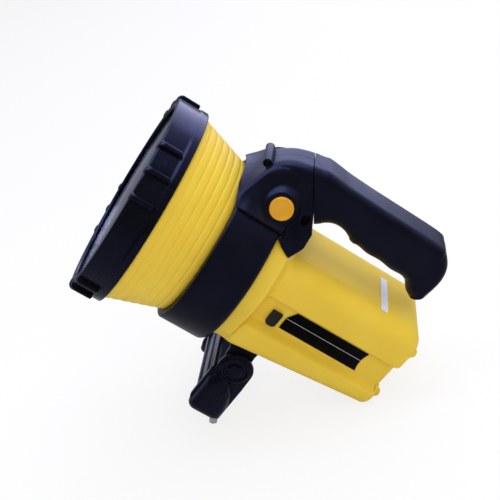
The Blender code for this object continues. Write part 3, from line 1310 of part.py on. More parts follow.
def place_on_ground():
    """Tilts the lamp onto the ground and puts the box's bottom centre at the origin."""
    LAMP.rotation_euler = (0, PITCH, 0)
    bpy.context.view_layer.update()
    low = Vector((math.inf, math.inf, math.inf))
    high = -low
    depsgraph = bpy.context.evaluated_depsgraph_get()
    for obj in PARTS.objects:
        if obj.type == "EMPTY":
            continue
        shape = obj.evaluated_get(depsgraph)
        mesh = shape.to_mesh()
        for vertex in mesh.vertices:
            point = shape.matrix_world @ vertex.co
            low = Vector(map(min, low, point))
            high = Vector(map(max, high, point))
        shape.to_mesh_clear()
    LAMP.location = (-(low.x + high.x) / 2, -(low.y + high.y) / 2, -low.z)
    bpy.context.view_layer.update()
    size = high - low
    print(f"tilt {math.degrees(PITCH):.3f} deg")
    print(f"size {size.x * 1000:.2f} x {size.y * 1000:.2f} x {size.z * 1000:.2f} mm")
    print(f"lamp frame at {LAMP.location.x:.6f} {LAMP.location.y:.6f} {LAMP.location.z:.6f}")


# Build.

bezel_ring()
HOLDER_BACK = lamp_optics()
lamp_housing()
collar = band()
body_housing()
side_details()
battery_parts()
leads()
charging()
handle_head()
handle_grip()
swivel()
button_and_bar()
stand_leg()
stand_bracket()
pin_and_screws()
cut(collar, button_bore("collar_pocket", WELL_WALL + GAP))
place_on_ground()
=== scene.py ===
"""Looks of a rechargeable hand spotlight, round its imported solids.

Each shell is a smooth surface worked out with numpy, in millimetres, in the lamp's own
frame: x runs back from the front rim along the beam, y across, and z up from the beam's
axis. placed() tilts it as the lamp stands, and turns it to metres.
"""

import json
import math

import bmesh
import bpy
import numpy as np
from mathutils import Matrix


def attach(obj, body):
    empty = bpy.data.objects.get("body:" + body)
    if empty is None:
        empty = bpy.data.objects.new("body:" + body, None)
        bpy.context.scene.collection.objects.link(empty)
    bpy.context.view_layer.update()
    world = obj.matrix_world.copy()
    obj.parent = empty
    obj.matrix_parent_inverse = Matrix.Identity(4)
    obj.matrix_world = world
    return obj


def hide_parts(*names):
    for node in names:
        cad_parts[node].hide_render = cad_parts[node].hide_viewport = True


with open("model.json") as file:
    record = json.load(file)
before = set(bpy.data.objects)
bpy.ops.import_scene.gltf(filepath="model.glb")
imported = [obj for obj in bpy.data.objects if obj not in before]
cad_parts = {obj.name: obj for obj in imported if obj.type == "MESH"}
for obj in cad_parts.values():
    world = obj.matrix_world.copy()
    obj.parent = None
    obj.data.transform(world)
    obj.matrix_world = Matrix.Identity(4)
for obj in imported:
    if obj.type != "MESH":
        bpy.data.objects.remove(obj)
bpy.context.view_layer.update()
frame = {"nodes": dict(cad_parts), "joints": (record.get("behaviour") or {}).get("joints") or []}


# The lamp's frame: the ring's joint lies at the front rim's centre, and its axis is the beam's.

RING_JOINT = next(joint for joint in frame["joints"] if joint["name"] == "bezel_turn")
TILT = math.atan2(-RING_JOINT["axis"][2], RING_JOINT["axis"][0])
TURN = np.array(((math.cos(TILT), 0, math.sin(TILT)), (0, 1, 0), (-math.sin(TILT), 0, math.cos(TILT))))
SHIFT = np.array(RING_JOINT["pos_m"])


def placed(points):
    """Points in the lamp's frame, in millimetres, to the row frame in metres.

    They are turned by the tilt about y, then shifted.
    """
    return np.asarray(points, float) @ TURN.T / 1000 + SHIFT


# Surfaces.

def unit(vectors):
    """Vectors divided by their lengths."""
    return vectors / np.maximum(np.linalg.norm(vectors, axis=-1, keepdims=True), 1e-12)


def through(keys, values, at):
    """A smooth curve through keyed values.

    Between each two keys it is a cubic whose slopes are the mean of the neighbouring chords,
    nought at a peak, so that it never overshoots.
    """
    keys, values, at = np.asarray(keys, float), np.asarray(values, float), np.asarray(at, float)
    values = values.reshape(len(keys), -1)
    step = np.diff(keys)[:, None]
    chord = np.diff(values, axis=0) / step
    slope = np.vstack((chord[:1], (chord[:-1] + chord[1:]) / 2, chord[-1:]))
    limit = 3 * np.minimum(np.abs(chord[:-1]), np.abs(chord[1:]))
    same = chord[:-1] * chord[1:] > 0
    slope[1:-1] = np.where(same, np.clip(slope[1:-1], -limit, limit), 0)
    cell = np.clip(np.searchsorted(keys, at, side="right") - 1, 0, len(keys) - 2)
    t = ((at - keys[cell]) / step[cell, 0])[:, None]
    width = step[cell]
    return ((1 + 2 * t) * (1 - t) ** 2 * values[cell] + t * (1 - t) ** 2 * width * slope[cell]
            + t * t * (3 - 2 * t) * values[cell + 1] + t * t * (t - 1) * width * slope[cell + 1])


def rounded(outline, radii, steps=6, closed=True):
    """An outline whose corners are arcs that touch both sides.

    Each arc begins radius / tan(half the corner's angle) before its corner, and is limited by
    half of the shorter side.
    """
    p = np.asarray(outline, float)
    radius = np.broadcast_to(np.asarray(radii, float), len(p)).copy()
    if not closed:
        radius[[0, -1]] = 0
    back, ahead = np.roll(p, 1, 0) - p, np.roll(p, -1, 0) - p
    half = np.arccos(np.clip((unit(back) * unit(ahead)).sum(1), -1, 1)) / 2
    room = 0.499 * np.minimum(np.linalg.norm(back, axis=1), np.linalg.norm(ahead, axis=1))
    reach = np.minimum(radius / np.maximum(np.tan(half), 1e-6), room)
    straight = half > math.pi / 2 - 1e-4
    radius = np.where(straight, 0, reach * np.tan(np.minimum(half, 1.5)))
    reach = np.where(straight, 0, reach)
    centre = p + unit(unit(back) + unit(ahead)) * (radius / np.sin(half))[:, None]
    sweep = np.maximum(math.pi - 2 * half, 1e-5)[:, None]
    t = np.linspace(0, 1, steps + 1)
    first, last = p + unit(back) * reach[:, None] - centre, p + unit(ahead) * reach[:, None] - centre
    weight_a, weight_b = np.sin((1 - t) * sweep) / np.sin(sweep), np.sin(t * sweep) / np.sin(sweep)
    arcs = centre[:, None] + weight_a[..., None] * first[:, None] + weight_b[..., None] * last[:, None]
    arcs = np.where((radius < 1e-9)[:, None, None], p[:, None], arcs).reshape(-1, 2)
    return arcs[np.r_[True, np.linalg.norm(np.diff(arcs, axis=0), axis=1) > 1e-6]]


def resampled(outline, count):
    """A closed outline as points at equal distances along it."""
    p = np.vstack((outline, outline[:1]))
    along = np.r_[0, np.cumsum(np.linalg.norm(np.diff(p, axis=0), axis=1))]
    at = np.linspace(0, along[-1], count, endpoint=False)
    return np.stack([np.interp(at, along, p[:, k]) for k in range(p.shape[1])], axis=1)


def shell(rings, wrap=False):
    """A closed surface over rings of equal counts: each ring's points join the next ring's by quads.

    The ends are closed by flat faces, unless the last ring joins the first.
    """
    rows, columns = rings.shape[:2]
    index = np.arange(rows * columns).reshape(rows, columns)
    low, high = (index, np.roll(index, -1, 0)) if wrap else (index[:-1], index[1:])
    quads = np.stack((low, np.roll(low, -1, 1), np.roll(high, -1, 1), high), -1).reshape(-1, 4)
    ends = [] if wrap else [index[0].tolist(), index[-1].tolist()]
    return rings.reshape(-1, 3), quads.tolist() + ends


def frame_of(axis):
    """Two unit vectors square to an axis and to each other."""
    axis = unit(np.asarray(axis, float))
    side = unit(np.cross((0, 1, 0) if abs(axis[1]) < 0.9 else (1, 0, 0), axis))
    return side, np.cross(axis, side)


def turned(profile, start=(0, 0, 0), axis=(1, 0, 0), steps=96):
    """A profile of (distance along the axis, radius) points carried round the axis.

    It closes on the axis where its ends have no radius, and on itself where they have one.
    """
    p = np.asarray(profile, float)
    side, up = frame_of(axis)
    angle = np.linspace(0, math.tau, steps, endpoint=False)
    spoke = np.cos(angle)[:, None] * side + np.sin(angle)[:, None] * up
    rings = np.asarray(start, float) + p[:, :1, None] * unit(np.asarray(axis, float)) + p[:, 1:, None] * spoke
    if p[0, 1] > 0:
        return shell(rings, wrap=True)
    points, faces = shell(rings)
    return points, faces[:-2]


def slab(outline, low, high, edge, steps=5, u=(1, 0, 0), v=(0, 0, 1), w=(0, 1, 0), origin=(0, 0, 0)):
    """A plate: an outline of (u, v) points carried from low to high along w.

    Its rims are quarter circles: at an angle a, the outline is drawn in by edge * (1 - sin a),
    edge * (1 - cos a) from the face.
    """
    p = np.asarray(outline, float)
    ahead, back = unit(np.roll(p, -1, 0) - p), unit(p - np.roll(p, 1, 0))
    area = (p[:, 0] * np.roll(p[:, 1], -1) - np.roll(p[:, 0], -1) * p[:, 1]).sum()
    around = math.copysign(1, area)
    across = np.stack((ahead[:, 1] + back[:, 1], -ahead[:, 0] - back[:, 0]), 1)
    outward = unit(across) * around
    lean = np.maximum((outward * np.stack((ahead[:, 1], -ahead[:, 0]), 1)).sum(1) * around, 0.5)
    a = np.linspace(0, math.pi / 2, steps + 1)
    inset, height = edge * (1 - np.sin(a)), edge * (1 - np.cos(a))
    inset, height = np.r_[inset, inset[::-1]], np.r_[low + height, (high - height)[::-1]]
    flat = p - outward / lean[:, None] * inset[:, None, None]
    u, v, w = (np.asarray(direction, float) for direction in (u, v, w))
    rings = np.asarray(origin, float) + flat[..., :1] * u + flat[..., 1:] * v + height[:, None, None] * w
    return shell(rings)


def smoothstep(low, high, value):
    """0 below low, 1 above high, and 3t^2 - 2t^3 between."""
    t = np.clip((value - low) / (high - low), 0, 1)
    return t * t * (3 - 2 * t)


# Pieces.

def mesh_from(name, shells):
    """One mesh of closed shells.

    Points below the ground are moved up to it, doubled points at poles and seams are merged,
    and faces point outwards.
    """
    points, faces = [], []
    for part, quads in shells:
        faces += [[i + len(points) for i in face] for face in quads]
        world = placed(part)
        world[:, 2] = np.maximum(world[:, 2], 0)
        points += world.tolist()
    mesh = bpy.data.meshes.new(name)
    mesh.from_pydata(points, [], faces)
    tidy = bmesh.new()
    tidy.from_mesh(mesh)
    bmesh.ops.remove_doubles(tidy, verts=tidy.verts, dist=2e-6)
    bmesh.ops.recalc_face_normals(tidy, faces=tidy.faces)
    tidy.to_mesh(mesh)
    tidy.free()
    return mesh


def carved(mesh, cutters):
    """The mesh less each cutter's shell, by exact Booleans. The cutters are removed."""
    target = bpy.data.objects.new("target", mesh)
    bpy.context.scene.collection.objects.link(target)
    helpers = []
    for cutter in cutters:
        helper = bpy.data.objects.new("cutter", mesh_from("cutter", [cutter]))
        bpy.context.scene.collection.objects.link(helper)
        step = target.modifiers.new("cut", "BOOLEAN")
        step.operation, step.solver, step.object = "DIFFERENCE", "EXACT", helper
        helpers.append(helper)
    result = bpy.data.meshes.new_from_object(target.evaluated_get(bpy.context.evaluated_depsgraph_get()))
    for helper in helpers + [target]:
        bpy.data.objects.remove(helper, do_unlink=True)
    return result


def piece(name, shells, body, material, replaces=(), cutters=(), extra=(), sharp=34):
    """Adds one piece that rides on a body.

    Its shells are joined and cut, and extra shells are added after the cut. All is shaded
    smooth, except where faces meet more steeply than sharp degrees.
    """
    mesh = mesh_from(name, shells)
    if cutters:
        mesh = carved(mesh, cutters)
    if extra:
        both = bmesh.new()
        both.from_mesh(mesh)
        both.from_mesh(mesh_from(name, extra))
        both.to_mesh(mesh)
        both.free()
    mesh.name = name
    mesh.materials.clear()
    mesh.materials.append(material)
    mesh.shade_smooth()
    mesh.set_sharp_from_angle(angle=math.radians(sharp))
    obj = bpy.data.objects.new(name, mesh)
    bpy.context.scene.collection.objects.link(obj)
    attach(obj, body)
    if replaces:
        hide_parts(*replaces)
    return obj


# Materials. Colours are sRGB hex values, and patterns are scaled from millimetres.

def linear(colour):
    """An sRGB hex value to linear red, green, blue and 1."""
    parts = [int(colour[i:i + 2], 16) / 255 for i in (1, 3, 5)]
    return (*(c / 12.92 if c <= 0.04045 else ((c + 0.055) / 1.055) ** 2.4 for c in parts), 1.0)


def per_metre(millimetres):
    """The scale of a texture whose features are that far apart."""
    return 1000 / millimetres


def add(tree, kind, sockets=None, **settings):
    """Adds one node: settings are its own properties, and sockets its inputs' values or what feeds them."""
    made = tree.nodes.new(kind)
    for key, value in settings.items():
        setattr(made, key, value)
    for key, value in (sockets or {}).items():
        if isinstance(value, bpy.types.NodeSocket):
            tree.links.new(value, made.inputs[key])
        else:
            made.inputs[key].default_value = value
    return made


def new_material(name, **sockets):
    """An empty node material: its tree, its shader and its Object coordinates."""
    material = bpy.data.materials.new(name)
    material.use_nodes = True
    tree = material.node_tree
    shader = tree.nodes["Principled BSDF"]
    for key, value in sockets.items():
        shader.inputs[key.replace("_", " ")].default_value = value
    place = add(tree, "ShaderNodeTexCoord").outputs["Object"]
    return material, tree, shader, place


# Shares of the noise between which one tone turns into the other, and between which rub marks begin.
PATCH_SPAN, SCUFF_SPAN = (0.3, 0.7), (0.56, 0.72)
SCUFF_LENGTH = 5.0


def moulded(name, dark, light, patch, rough, grain, grain_depth, wave=14.0, wave_depth=0.05, scuff=0.0,
            **sockets):
    """Moulded plastic or rubber.

    Two close tones lie in soft patches. A fine grain comes from the mould, and the slow
    unevenness of a cooled wall bends its reflections. Lengths are in millimetres.
    """
    material, tree, shader, place = new_material(name, **sockets)
    patches = add(tree, "ShaderNodeTexNoise", {"Vector": place, "Scale": per_metre(patch), "Detail": 3.0})
    tones = add(tree, "ShaderNodeValToRGB", {"Fac": patches.outputs["Fac"]})
    first, last = tones.color_ramp.elements
    first.position, last.position = PATCH_SPAN
    first.color, last.color = linear(dark), linear(light)
    tree.links.new(tones.outputs["Color"], shader.inputs["Base Color"])
    fine = add(tree, "ShaderNodeTexNoise", {"Vector": place, "Scale": per_metre(grain), "Detail": 2.0})
    slow = add(tree, "ShaderNodeTexNoise", {"Vector": place, "Scale": per_metre(wave), "Detail": 1.0})
    spread = add(tree, "ShaderNodeMapRange", {
        "Value": patches.outputs["Fac"], "From Min": PATCH_SPAN[0], "From Max": PATCH_SPAN[1],
        "To Min": rough[0], "To Max": rough[1]})
    source = spread.outputs["Result"]
    if scuff:
        streaks = add(tree, "ShaderNodeTexNoise", {
            "Vector": place, "Scale": per_metre(SCUFF_LENGTH), "Detail": 6.0, "Distortion": 1.2})
        worn = add(tree, "ShaderNodeMapRange", {
            "Value": streaks.outputs["Fac"], "From Min": SCUFF_SPAN[0], "From Max": SCUFF_SPAN[1],
            "To Min": 0.0, "To Max": scuff})
        total = add(tree, "ShaderNodeMath", {0: source, 1: worn.outputs["Result"]}, operation="ADD")
        source = total.outputs[0]
    tree.links.new(source, shader.inputs["Roughness"])
    low = add(tree, "ShaderNodeBump", {
        "Height": slow.outputs["Fac"], "Distance": wave_depth / 1000, "Strength": 1.0})
    high = add(tree, "ShaderNodeBump", {
        "Height": fine.outputs["Fac"], "Distance": grain_depth / 1000, "Strength": 1.0,
        "Normal": low.outputs["Normal"]})
    tree.links.new(high.outputs["Normal"], shader.inputs["Normal"])
    return material


# The scratches' depth, and the share by which their pattern is drawn out along x.
SCRATCH_DEPTH, SCRATCH_STRETCH = 0.02, 0.08


def sheet_metal(name, colour, rough, scratch):
    """Bare or plated metal with fine scratches along x. The lengths are in millimetres."""
    material, tree, shader, place = new_material(name, Metallic=1.0)
    shader.inputs["Base Color"].default_value = linear(colour)
    stretched = add(tree, "ShaderNodeMapping", {"Vector": place, "Scale": (SCRATCH_STRETCH, 1, 1)})
    lines = add(tree, "ShaderNodeTexNoise", {
        "Vector": stretched.outputs[0], "Scale": per_metre(scratch), "Detail": 4.0})
    spread = add(tree, "ShaderNodeMapRange", {
        "Value": lines.outputs["Fac"], "To Min": rough * 0.7, "To Max": rough * 1.5})
    tree.links.new(spread.outputs["Result"], shader.inputs["Roughness"])
    bump = add(tree, "ShaderNodeBump", {
        "Height": lines.outputs["Fac"], "Distance": SCRATCH_DEPTH / 1000, "Strength": 1.0})
    tree.links.new(bump.outputs["Normal"], shader.inputs["Normal"])
    return material


# Painted reflection colour: a violet tint laid on the black plastics' shine, which stands in for bluish light
# from above and behind.
PAINTED_VIOLET_REFLECTION = linear("#9CA4FF")


def satin_abs():
    """Black ABS from a finely eroded mould.

    To the eye it has a broad soft shine, whose violet is a painted reflection colour, and a grain just fine
    enough to feel.
    """
    return moulded("satin_black_abs", "#0D0D0F", "#121215", 22.0, (0.34, 0.44), 0.45, 0.012, 30.0, 0.10,
                   Specular_Tint=PAINTED_VIOLET_REFLECTION, Specular_IOR_Level=0.50)


def gloss_abs():
    """Black ABS from a polished mould: sharp streaks of light along ribs and edges, faint rub marks."""
    # Its shine carries the same painted violet reflection colour.
    return moulded("polished_black_abs", "#0B0B0C", "#101012", 30.0, (0.18, 0.26), 0.7, 0.004, 26.0, 0.08,
                   scuff=0.16, Specular_Tint=PAINTED_VIOLET_REFLECTION, Specular_IOR_Level=0.55)


def yellow_polyethylene():
    """Yellow polyethylene, blow-moulded.

    It is waxy and a little translucent, so light spreads inside it and softens its shadows, and
    it has the slow waves of a thin wall.
    """
    return moulded("waxy_yellow_polyethylene", "#EFC940", "#F3D14A", 40.0, (0.42, 0.54), 0.9, 0.010, 24.0,
                   0.14, Subsurface_Weight=0.10, Subsurface_Radius=(0.006, 0.004, 0.001),
                   Subsurface_Scale=0.6, Specular_IOR_Level=0.16)


def orange_acetal():
    """Orange-yellow acetal of the button: dense, smooth, softly shining."""
    return moulded("orange_acetal", "#E8A31A", "#EDAC26", 9.0, (0.30, 0.38), 0.5, 0.006, 12.0, 0.03,
                   Subsurface_Weight=0.08, Subsurface_Radius=(0.003, 0.0015, 0.0005), Subsurface_Scale=0.5)


def soft_rubber():
    """Dark moulded rubber of the socket's cap and the seal: dull, with a powdery grain."""
    return moulded("moulded_rubber", "#1B1B1E", "#232327", 6.0, (0.62, 0.74), 0.35, 0.02, 8.0, 0.03)


def grey_rubber():
    """Light grey rubber of the tips on which the leg stands: dull and even."""
    return moulded("grey_tip_rubber", "#A6A8AD", "#B8BABF", 4.0, (0.55, 0.68), 0.3, 0.02, 5.0, 0.03)


def white_film():
    """White paper label under a clear film: flat, faintly fibrous."""
    return moulded("white_paper_film", "#E9E6EF", "#F3F1F7", 3.0, (0.30, 0.40), 0.25, 0.006, 6.0, 0.02)


# A point on the label's silver line, and how far from it silver ends and black begins.
LABEL_LINE, LABEL_LINE_EDGE = (186.0, 0.0, -7.4), (0.12, 0.22)
FILM_RIPPLE, FILM_RIPPLE_DEPTH = 9.0, 0.04


def label_film():
    """Black printed film with one thin silver line along it: glossy, slightly rippled over the plastic."""
    material, tree, shader, place = new_material("black_label_film", Roughness=0.30, Specular_IOR_Level=0.08)
    turned_back = add(tree, "ShaderNodeMapping", {"Vector": place, "Rotation": (0, -TILT, 0)})
    parts = add(tree, "ShaderNodeSeparateXYZ", {0: turned_back.outputs[0]})
    centre = (TURN.T @ placed(LABEL_LINE))[2]
    off = add(tree, "ShaderNodeMath", {0: parts.outputs["Z"], 1: float(centre)}, operation="SUBTRACT")
    away = add(tree, "ShaderNodeMath", {0: off.outputs[0]}, operation="ABSOLUTE")
    line = add(tree, "ShaderNodeMapRange", {
        "Value": away.outputs[0], "From Min": LABEL_LINE_EDGE[0] / 1000,
        "From Max": LABEL_LINE_EDGE[1] / 1000, "To Min": 1.0, "To Max": 0.0})
    tones = add(tree, "ShaderNodeValToRGB", {"Fac": line.outputs["Result"]})
    first, last = tones.color_ramp.elements
    first.color, last.color = linear("#08080A"), linear("#C9CBD2")
    tree.links.new(tones.outputs["Color"], shader.inputs["Base Color"])
    ripple = add(tree, "ShaderNodeTexNoise", {
        "Vector": place, "Scale": per_metre(FILM_RIPPLE), "Detail": 2.0})
    bump = add(tree, "ShaderNodeBump", {
        "Height": ripple.outputs["Fac"], "Distance": FILM_RIPPLE_DEPTH / 1000, "Strength": 1.0})
    tree.links.new(bump.outputs["Normal"], shader.inputs["Normal"])
    return material


GLASS_WAVE, GLASS_WAVE_DEPTH = 30.0, 0.05


def pressed_glass(name, tint, rough):
    """Pressed glass: see-through, with a crisp reflection and the slow waves of its mould."""
    material, tree, shader, place = new_material(name, Roughness=rough, IOR=1.50, Transmission_Weight=1.0)
    shader.inputs["Base Color"].default_value = linear(tint)
    slow = add(tree, "ShaderNodeTexNoise", {"Vector": place, "Scale": per_metre(GLASS_WAVE), "Detail": 1.0})
    bump = add(tree, "ShaderNodeBump", {
        "Height": slow.outputs["Fac"], "Distance": GLASS_WAVE_DEPTH / 1000, "Strength": 1.0})
    tree.links.new(bump.outputs["Normal"], shader.inputs["Normal"])
    return material


BLACK_SATIN = satin_abs()
BLACK_GLOSS = gloss_abs()
YELLOW = yellow_polyethylene()
BUTTON = orange_acetal()
RUBBER = soft_rubber()
PALE_RUBBER = grey_rubber()
STICKER = white_film()
LABEL = label_film()
# Colourless glass of the bulb, and the lens's, which looks faintly violet.
GLASS = pressed_glass("clear_bulb_glass", "#F4F8F8", 0.02)
LENS = pressed_glass("violet_lens_glass", "#DADCEE", 0.05)
# Aluminium laid on in a vacuum: a mirror, with the faintest drawing marks.
MIRROR = sheet_metal("evaporated_aluminium", "#E9EAEC", 0.07, 2.0)
# Steel with a thin zinc coat: a cool grey shine, spread along fine scratches.
STEEL = sheet_metal("zinc_plated_steel", "#B9BCC2", 0.32, 0.5)
# Fired steatite of the bulb's holder: matt, off-white, slightly gritty.
CERAMIC = moulded("steatite_ceramic", "#DCD7C8", "#E6E1D3", 3.0, (0.55, 0.66), 0.3, 0.02, 6.0, 0.03)
# Foam with closed cells: dull and pitted, drawn a little coarse so that the cells show.
FOAM = moulded("closed_cell_foam", "#3C3C3E", "#4A4A4C", 2.0, (0.85, 0.95), 0.8, 0.12, 6.0, 0.2)
# The battery's moulded case: plain dark grey, low sheen.
CASE = moulded("grey_battery_abs", "#30343B", "#383C44", 8.0, (0.45, 0.55), 0.6, 0.02, 20.0, 0.05)
# Glass-fibre board under green lacquer: a soft shine over a faint weave.
BOARD = moulded("green_glass_epoxy", "#14502C", "#1A5E35", 1.6, (0.35, 0.5), 0.5, 0.01, 10.0, 0.02)

SLOT_FINISH = {
    "black_gloss": BLACK_GLOSS, "black_satin": BLACK_SATIN, "yellow": YELLOW, "button_yellow": BUTTON,
    "rubber": RUBBER, "foam": FOAM, "clear": GLASS, "reflector": MIRROR, "steel": STEEL, "ceramic": CERAMIC,
    "label": LABEL, "white": STICKER, "battery": CASE, "board": BOARD, "grey": PALE_RUBBER,
}
SLOT_NODES = {
    "black_gloss": ("bezel_ring", "stand_leg", "pivot_pin"),
    "black_satin": ("collar_band", "charge_socket", "handle_head_near", "handle_head_far", "handle_grip",
                    "switch_body", "strap_bar", "stand_bracket"),
    "yellow": ("lamp_housing", "body_housing"),
    "button_yellow": ("push_button",),
    "rubber": ("lens_seal", "lead_near", "lead_far", "socket_cap"),
    "foam": ("battery_pad", "battery_strip"),
    "clear": ("lens", "bulb"),
    "reflector": ("reflector",),
    "ceramic": ("bulb_holder",),
    "label": ("side_label_near", "side_label_far"),
    "white": ("top_sticker",),
    "battery": ("battery",),
    "board": ("circuit_board",),
    "grey": ("foot_pad_near", "foot_pad_far"),
}
NODE_FINISH = {name: SLOT_FINISH[slot] for slot, names in SLOT_NODES.items() for name in names}
# Every node that isn't listed is steel: the screws, the bolt, its washer and coil, and the clip.
for node_name, node in frame["nodes"].items():
    finish = NODE_FINISH.get(node_name, STEEL)
    if not node.material_slots:
        node.data.materials.append(finish)
    for material_slot in node.material_slots:
        material_slot.material = finish


# Camera, lamps and floor.

# The photograph's camera in the lamp's frame, fitted to the ring's and the band's outlines.
CAMERA_RIGHT = np.array((0.8447, 0.0980, 0.5262))
CAMERA_UP = np.array((-0.4938, 0.5219, 0.6955))
CAMERA_EYE = np.array((-44.1, -612.4, 363.8))
CAMERA_LENS, CAMERA_SENSOR = 68.4, 36

# Place, aim, size in metres, power, tint, and whether gloss shows the lamp.
LAMPS = {
    "overhead": ((0.18, 0.05, 1.30), (0.0, 0.0, 0.10), 1.00, 7.5, "#F4F6FF", True),
    "behind": ((0.36, 1.20, 0.72), (0.0, 0.0, 0.12), 1.30, 9.0, "#D2D7FF", True),
    "glint": ((-0.42, -0.10, 1.10), (0.0, 0.0, 0.12), 0.16, 1.8, "#E0E4FF", True),
    "fill": ((0.40, -1.20, 1.05), (0.0, 0.0, 0.12), 0.90, 8.0, "#FFFDF8", False),
}

# The world's strength grows from in front of the lamp, where it is lower for gloss, to behind it,
# over this span of the direction's y. Matt surfaces take a share of it.
WORLD_FRONT, WORLD_FRONT_GLOSS, WORLD_BACK, WORLD_SPAN = 0.22, 0.05, 1.0, (-0.5, 0.7)
WORLD_MATT_SHARE = 0.85
WORLD_GLOSS_TINT = "#DCE0FF"

FLOOR_RADIUS, FLOOR_SIDES = 6.0, 64
# The share of the floor's look that is a plain white of its own.
FLOOR_WHITE = 0.80
# For gloss, the floor is white round a point behind the lamp, and dark further off: a painted shade that only
# reflections show.
FLOOR_CENTRE, FLOOR_FADE = (0.0, 0.22, 0.0), (0.12, 0.32)
# The colour of that painted shade.
FLOOR_FAR_PAINTED_SHADE = "#17181F"
PAPER_FIBRE = 3.0


def photo_camera(scene):
    """A camera whose axes are the fitted ones, turned and shifted as the lamp is."""
    matrix = np.eye(4)
    axes = (CAMERA_RIGHT, CAMERA_UP, np.cross(CAMERA_RIGHT, CAMERA_UP))
    matrix[:3, 0], matrix[:3, 1], matrix[:3, 2] = (TURN @ axis for axis in axes)
    matrix[:3, 3] = placed(CAMERA_EYE)
    camera = bpy.data.objects.new("camera", bpy.data.cameras.new("camera"))
    camera.data.lens, camera.data.sensor_width = CAMERA_LENS, CAMERA_SENSOR
    camera.matrix_world = Matrix(matrix.tolist())
    scene.collection.objects.link(camera)
    scene.camera = camera


def soft_lamps(scene):
    """Square lamps, each turned so that its back points away from its aim."""
    for name, (place, aim, size, power, tint, mirrored) in LAMPS.items():
        lamp = bpy.data.lights.new(name, "AREA")
        lamp.shape, lamp.size, lamp.energy, lamp.color = "SQUARE", size, power, linear(tint)[:3]
        holder = bpy.data.objects.new(name, lamp)
        holder.visible_glossy = mirrored
        toward = unit(np.array(aim) - np.array(place))
        side, top = frame_of(-toward)
        turn = np.eye(4)
        turn[:3, 0], turn[:3, 1], turn[:3, 2], turn[:3, 3] = side, top, -toward, place
        holder.matrix_world = Matrix(turn.tolist())
        scene.collection.objects.link(holder)


def white_world(scene):
    """A world that is plain white to the camera and through glass, and for the rest darker in front."""
    world = bpy.data.worlds.new("studio")
    world.use_nodes = True
    tree = world.node_tree
    background = tree.nodes["Background"]
    toward = add(tree, "ShaderNodeSeparateXYZ", {0: add(tree, "ShaderNodeTexCoord").outputs["Object"]})
    ray = add(tree, "ShaderNodeLightPath")
    glossy = ray.outputs["Is Glossy Ray"]
    front = add(tree, "ShaderNodeMapRange", {
        "Value": glossy, "To Min": WORLD_FRONT, "To Max": WORLD_FRONT_GLOSS})
    level = add(tree, "ShaderNodeMapRange", {
        "Value": toward.outputs["Y"], "From Min": WORLD_SPAN[0], "From Max": WORLD_SPAN[1],
        "To Min": front.outputs["Result"], "To Max": WORLD_BACK})
    soft = add(tree, "ShaderNodeMapRange", {"Value": glossy, "To Min": WORLD_MATT_SHARE, "To Max": 1.0})
    dimmed = add(tree, "ShaderNodeMath", {0: level.outputs["Result"], 1: soft.outputs["Result"]},
                 operation="MULTIPLY")
    plain = add(tree, "ShaderNodeMath", {
        0: ray.outputs["Is Camera Ray"], 1: ray.outputs["Is Transmission Ray"]}, operation="MAXIMUM")
    strength = add(tree, "ShaderNodeMath", {0: dimmed.outputs[0], 1: plain.outputs[0]}, operation="MAXIMUM")
    tree.links.new(strength.outputs[0], background.inputs["Strength"])
    cool = add(tree, "ShaderNodeMix", {"Factor": glossy, "A": (1, 1, 1, 1), "B": linear(WORLD_GLOSS_TINT)},
               data_type="RGBA")
    tree.links.new(cool.outputs["Result"], background.inputs["Color"])
    scene.world = world


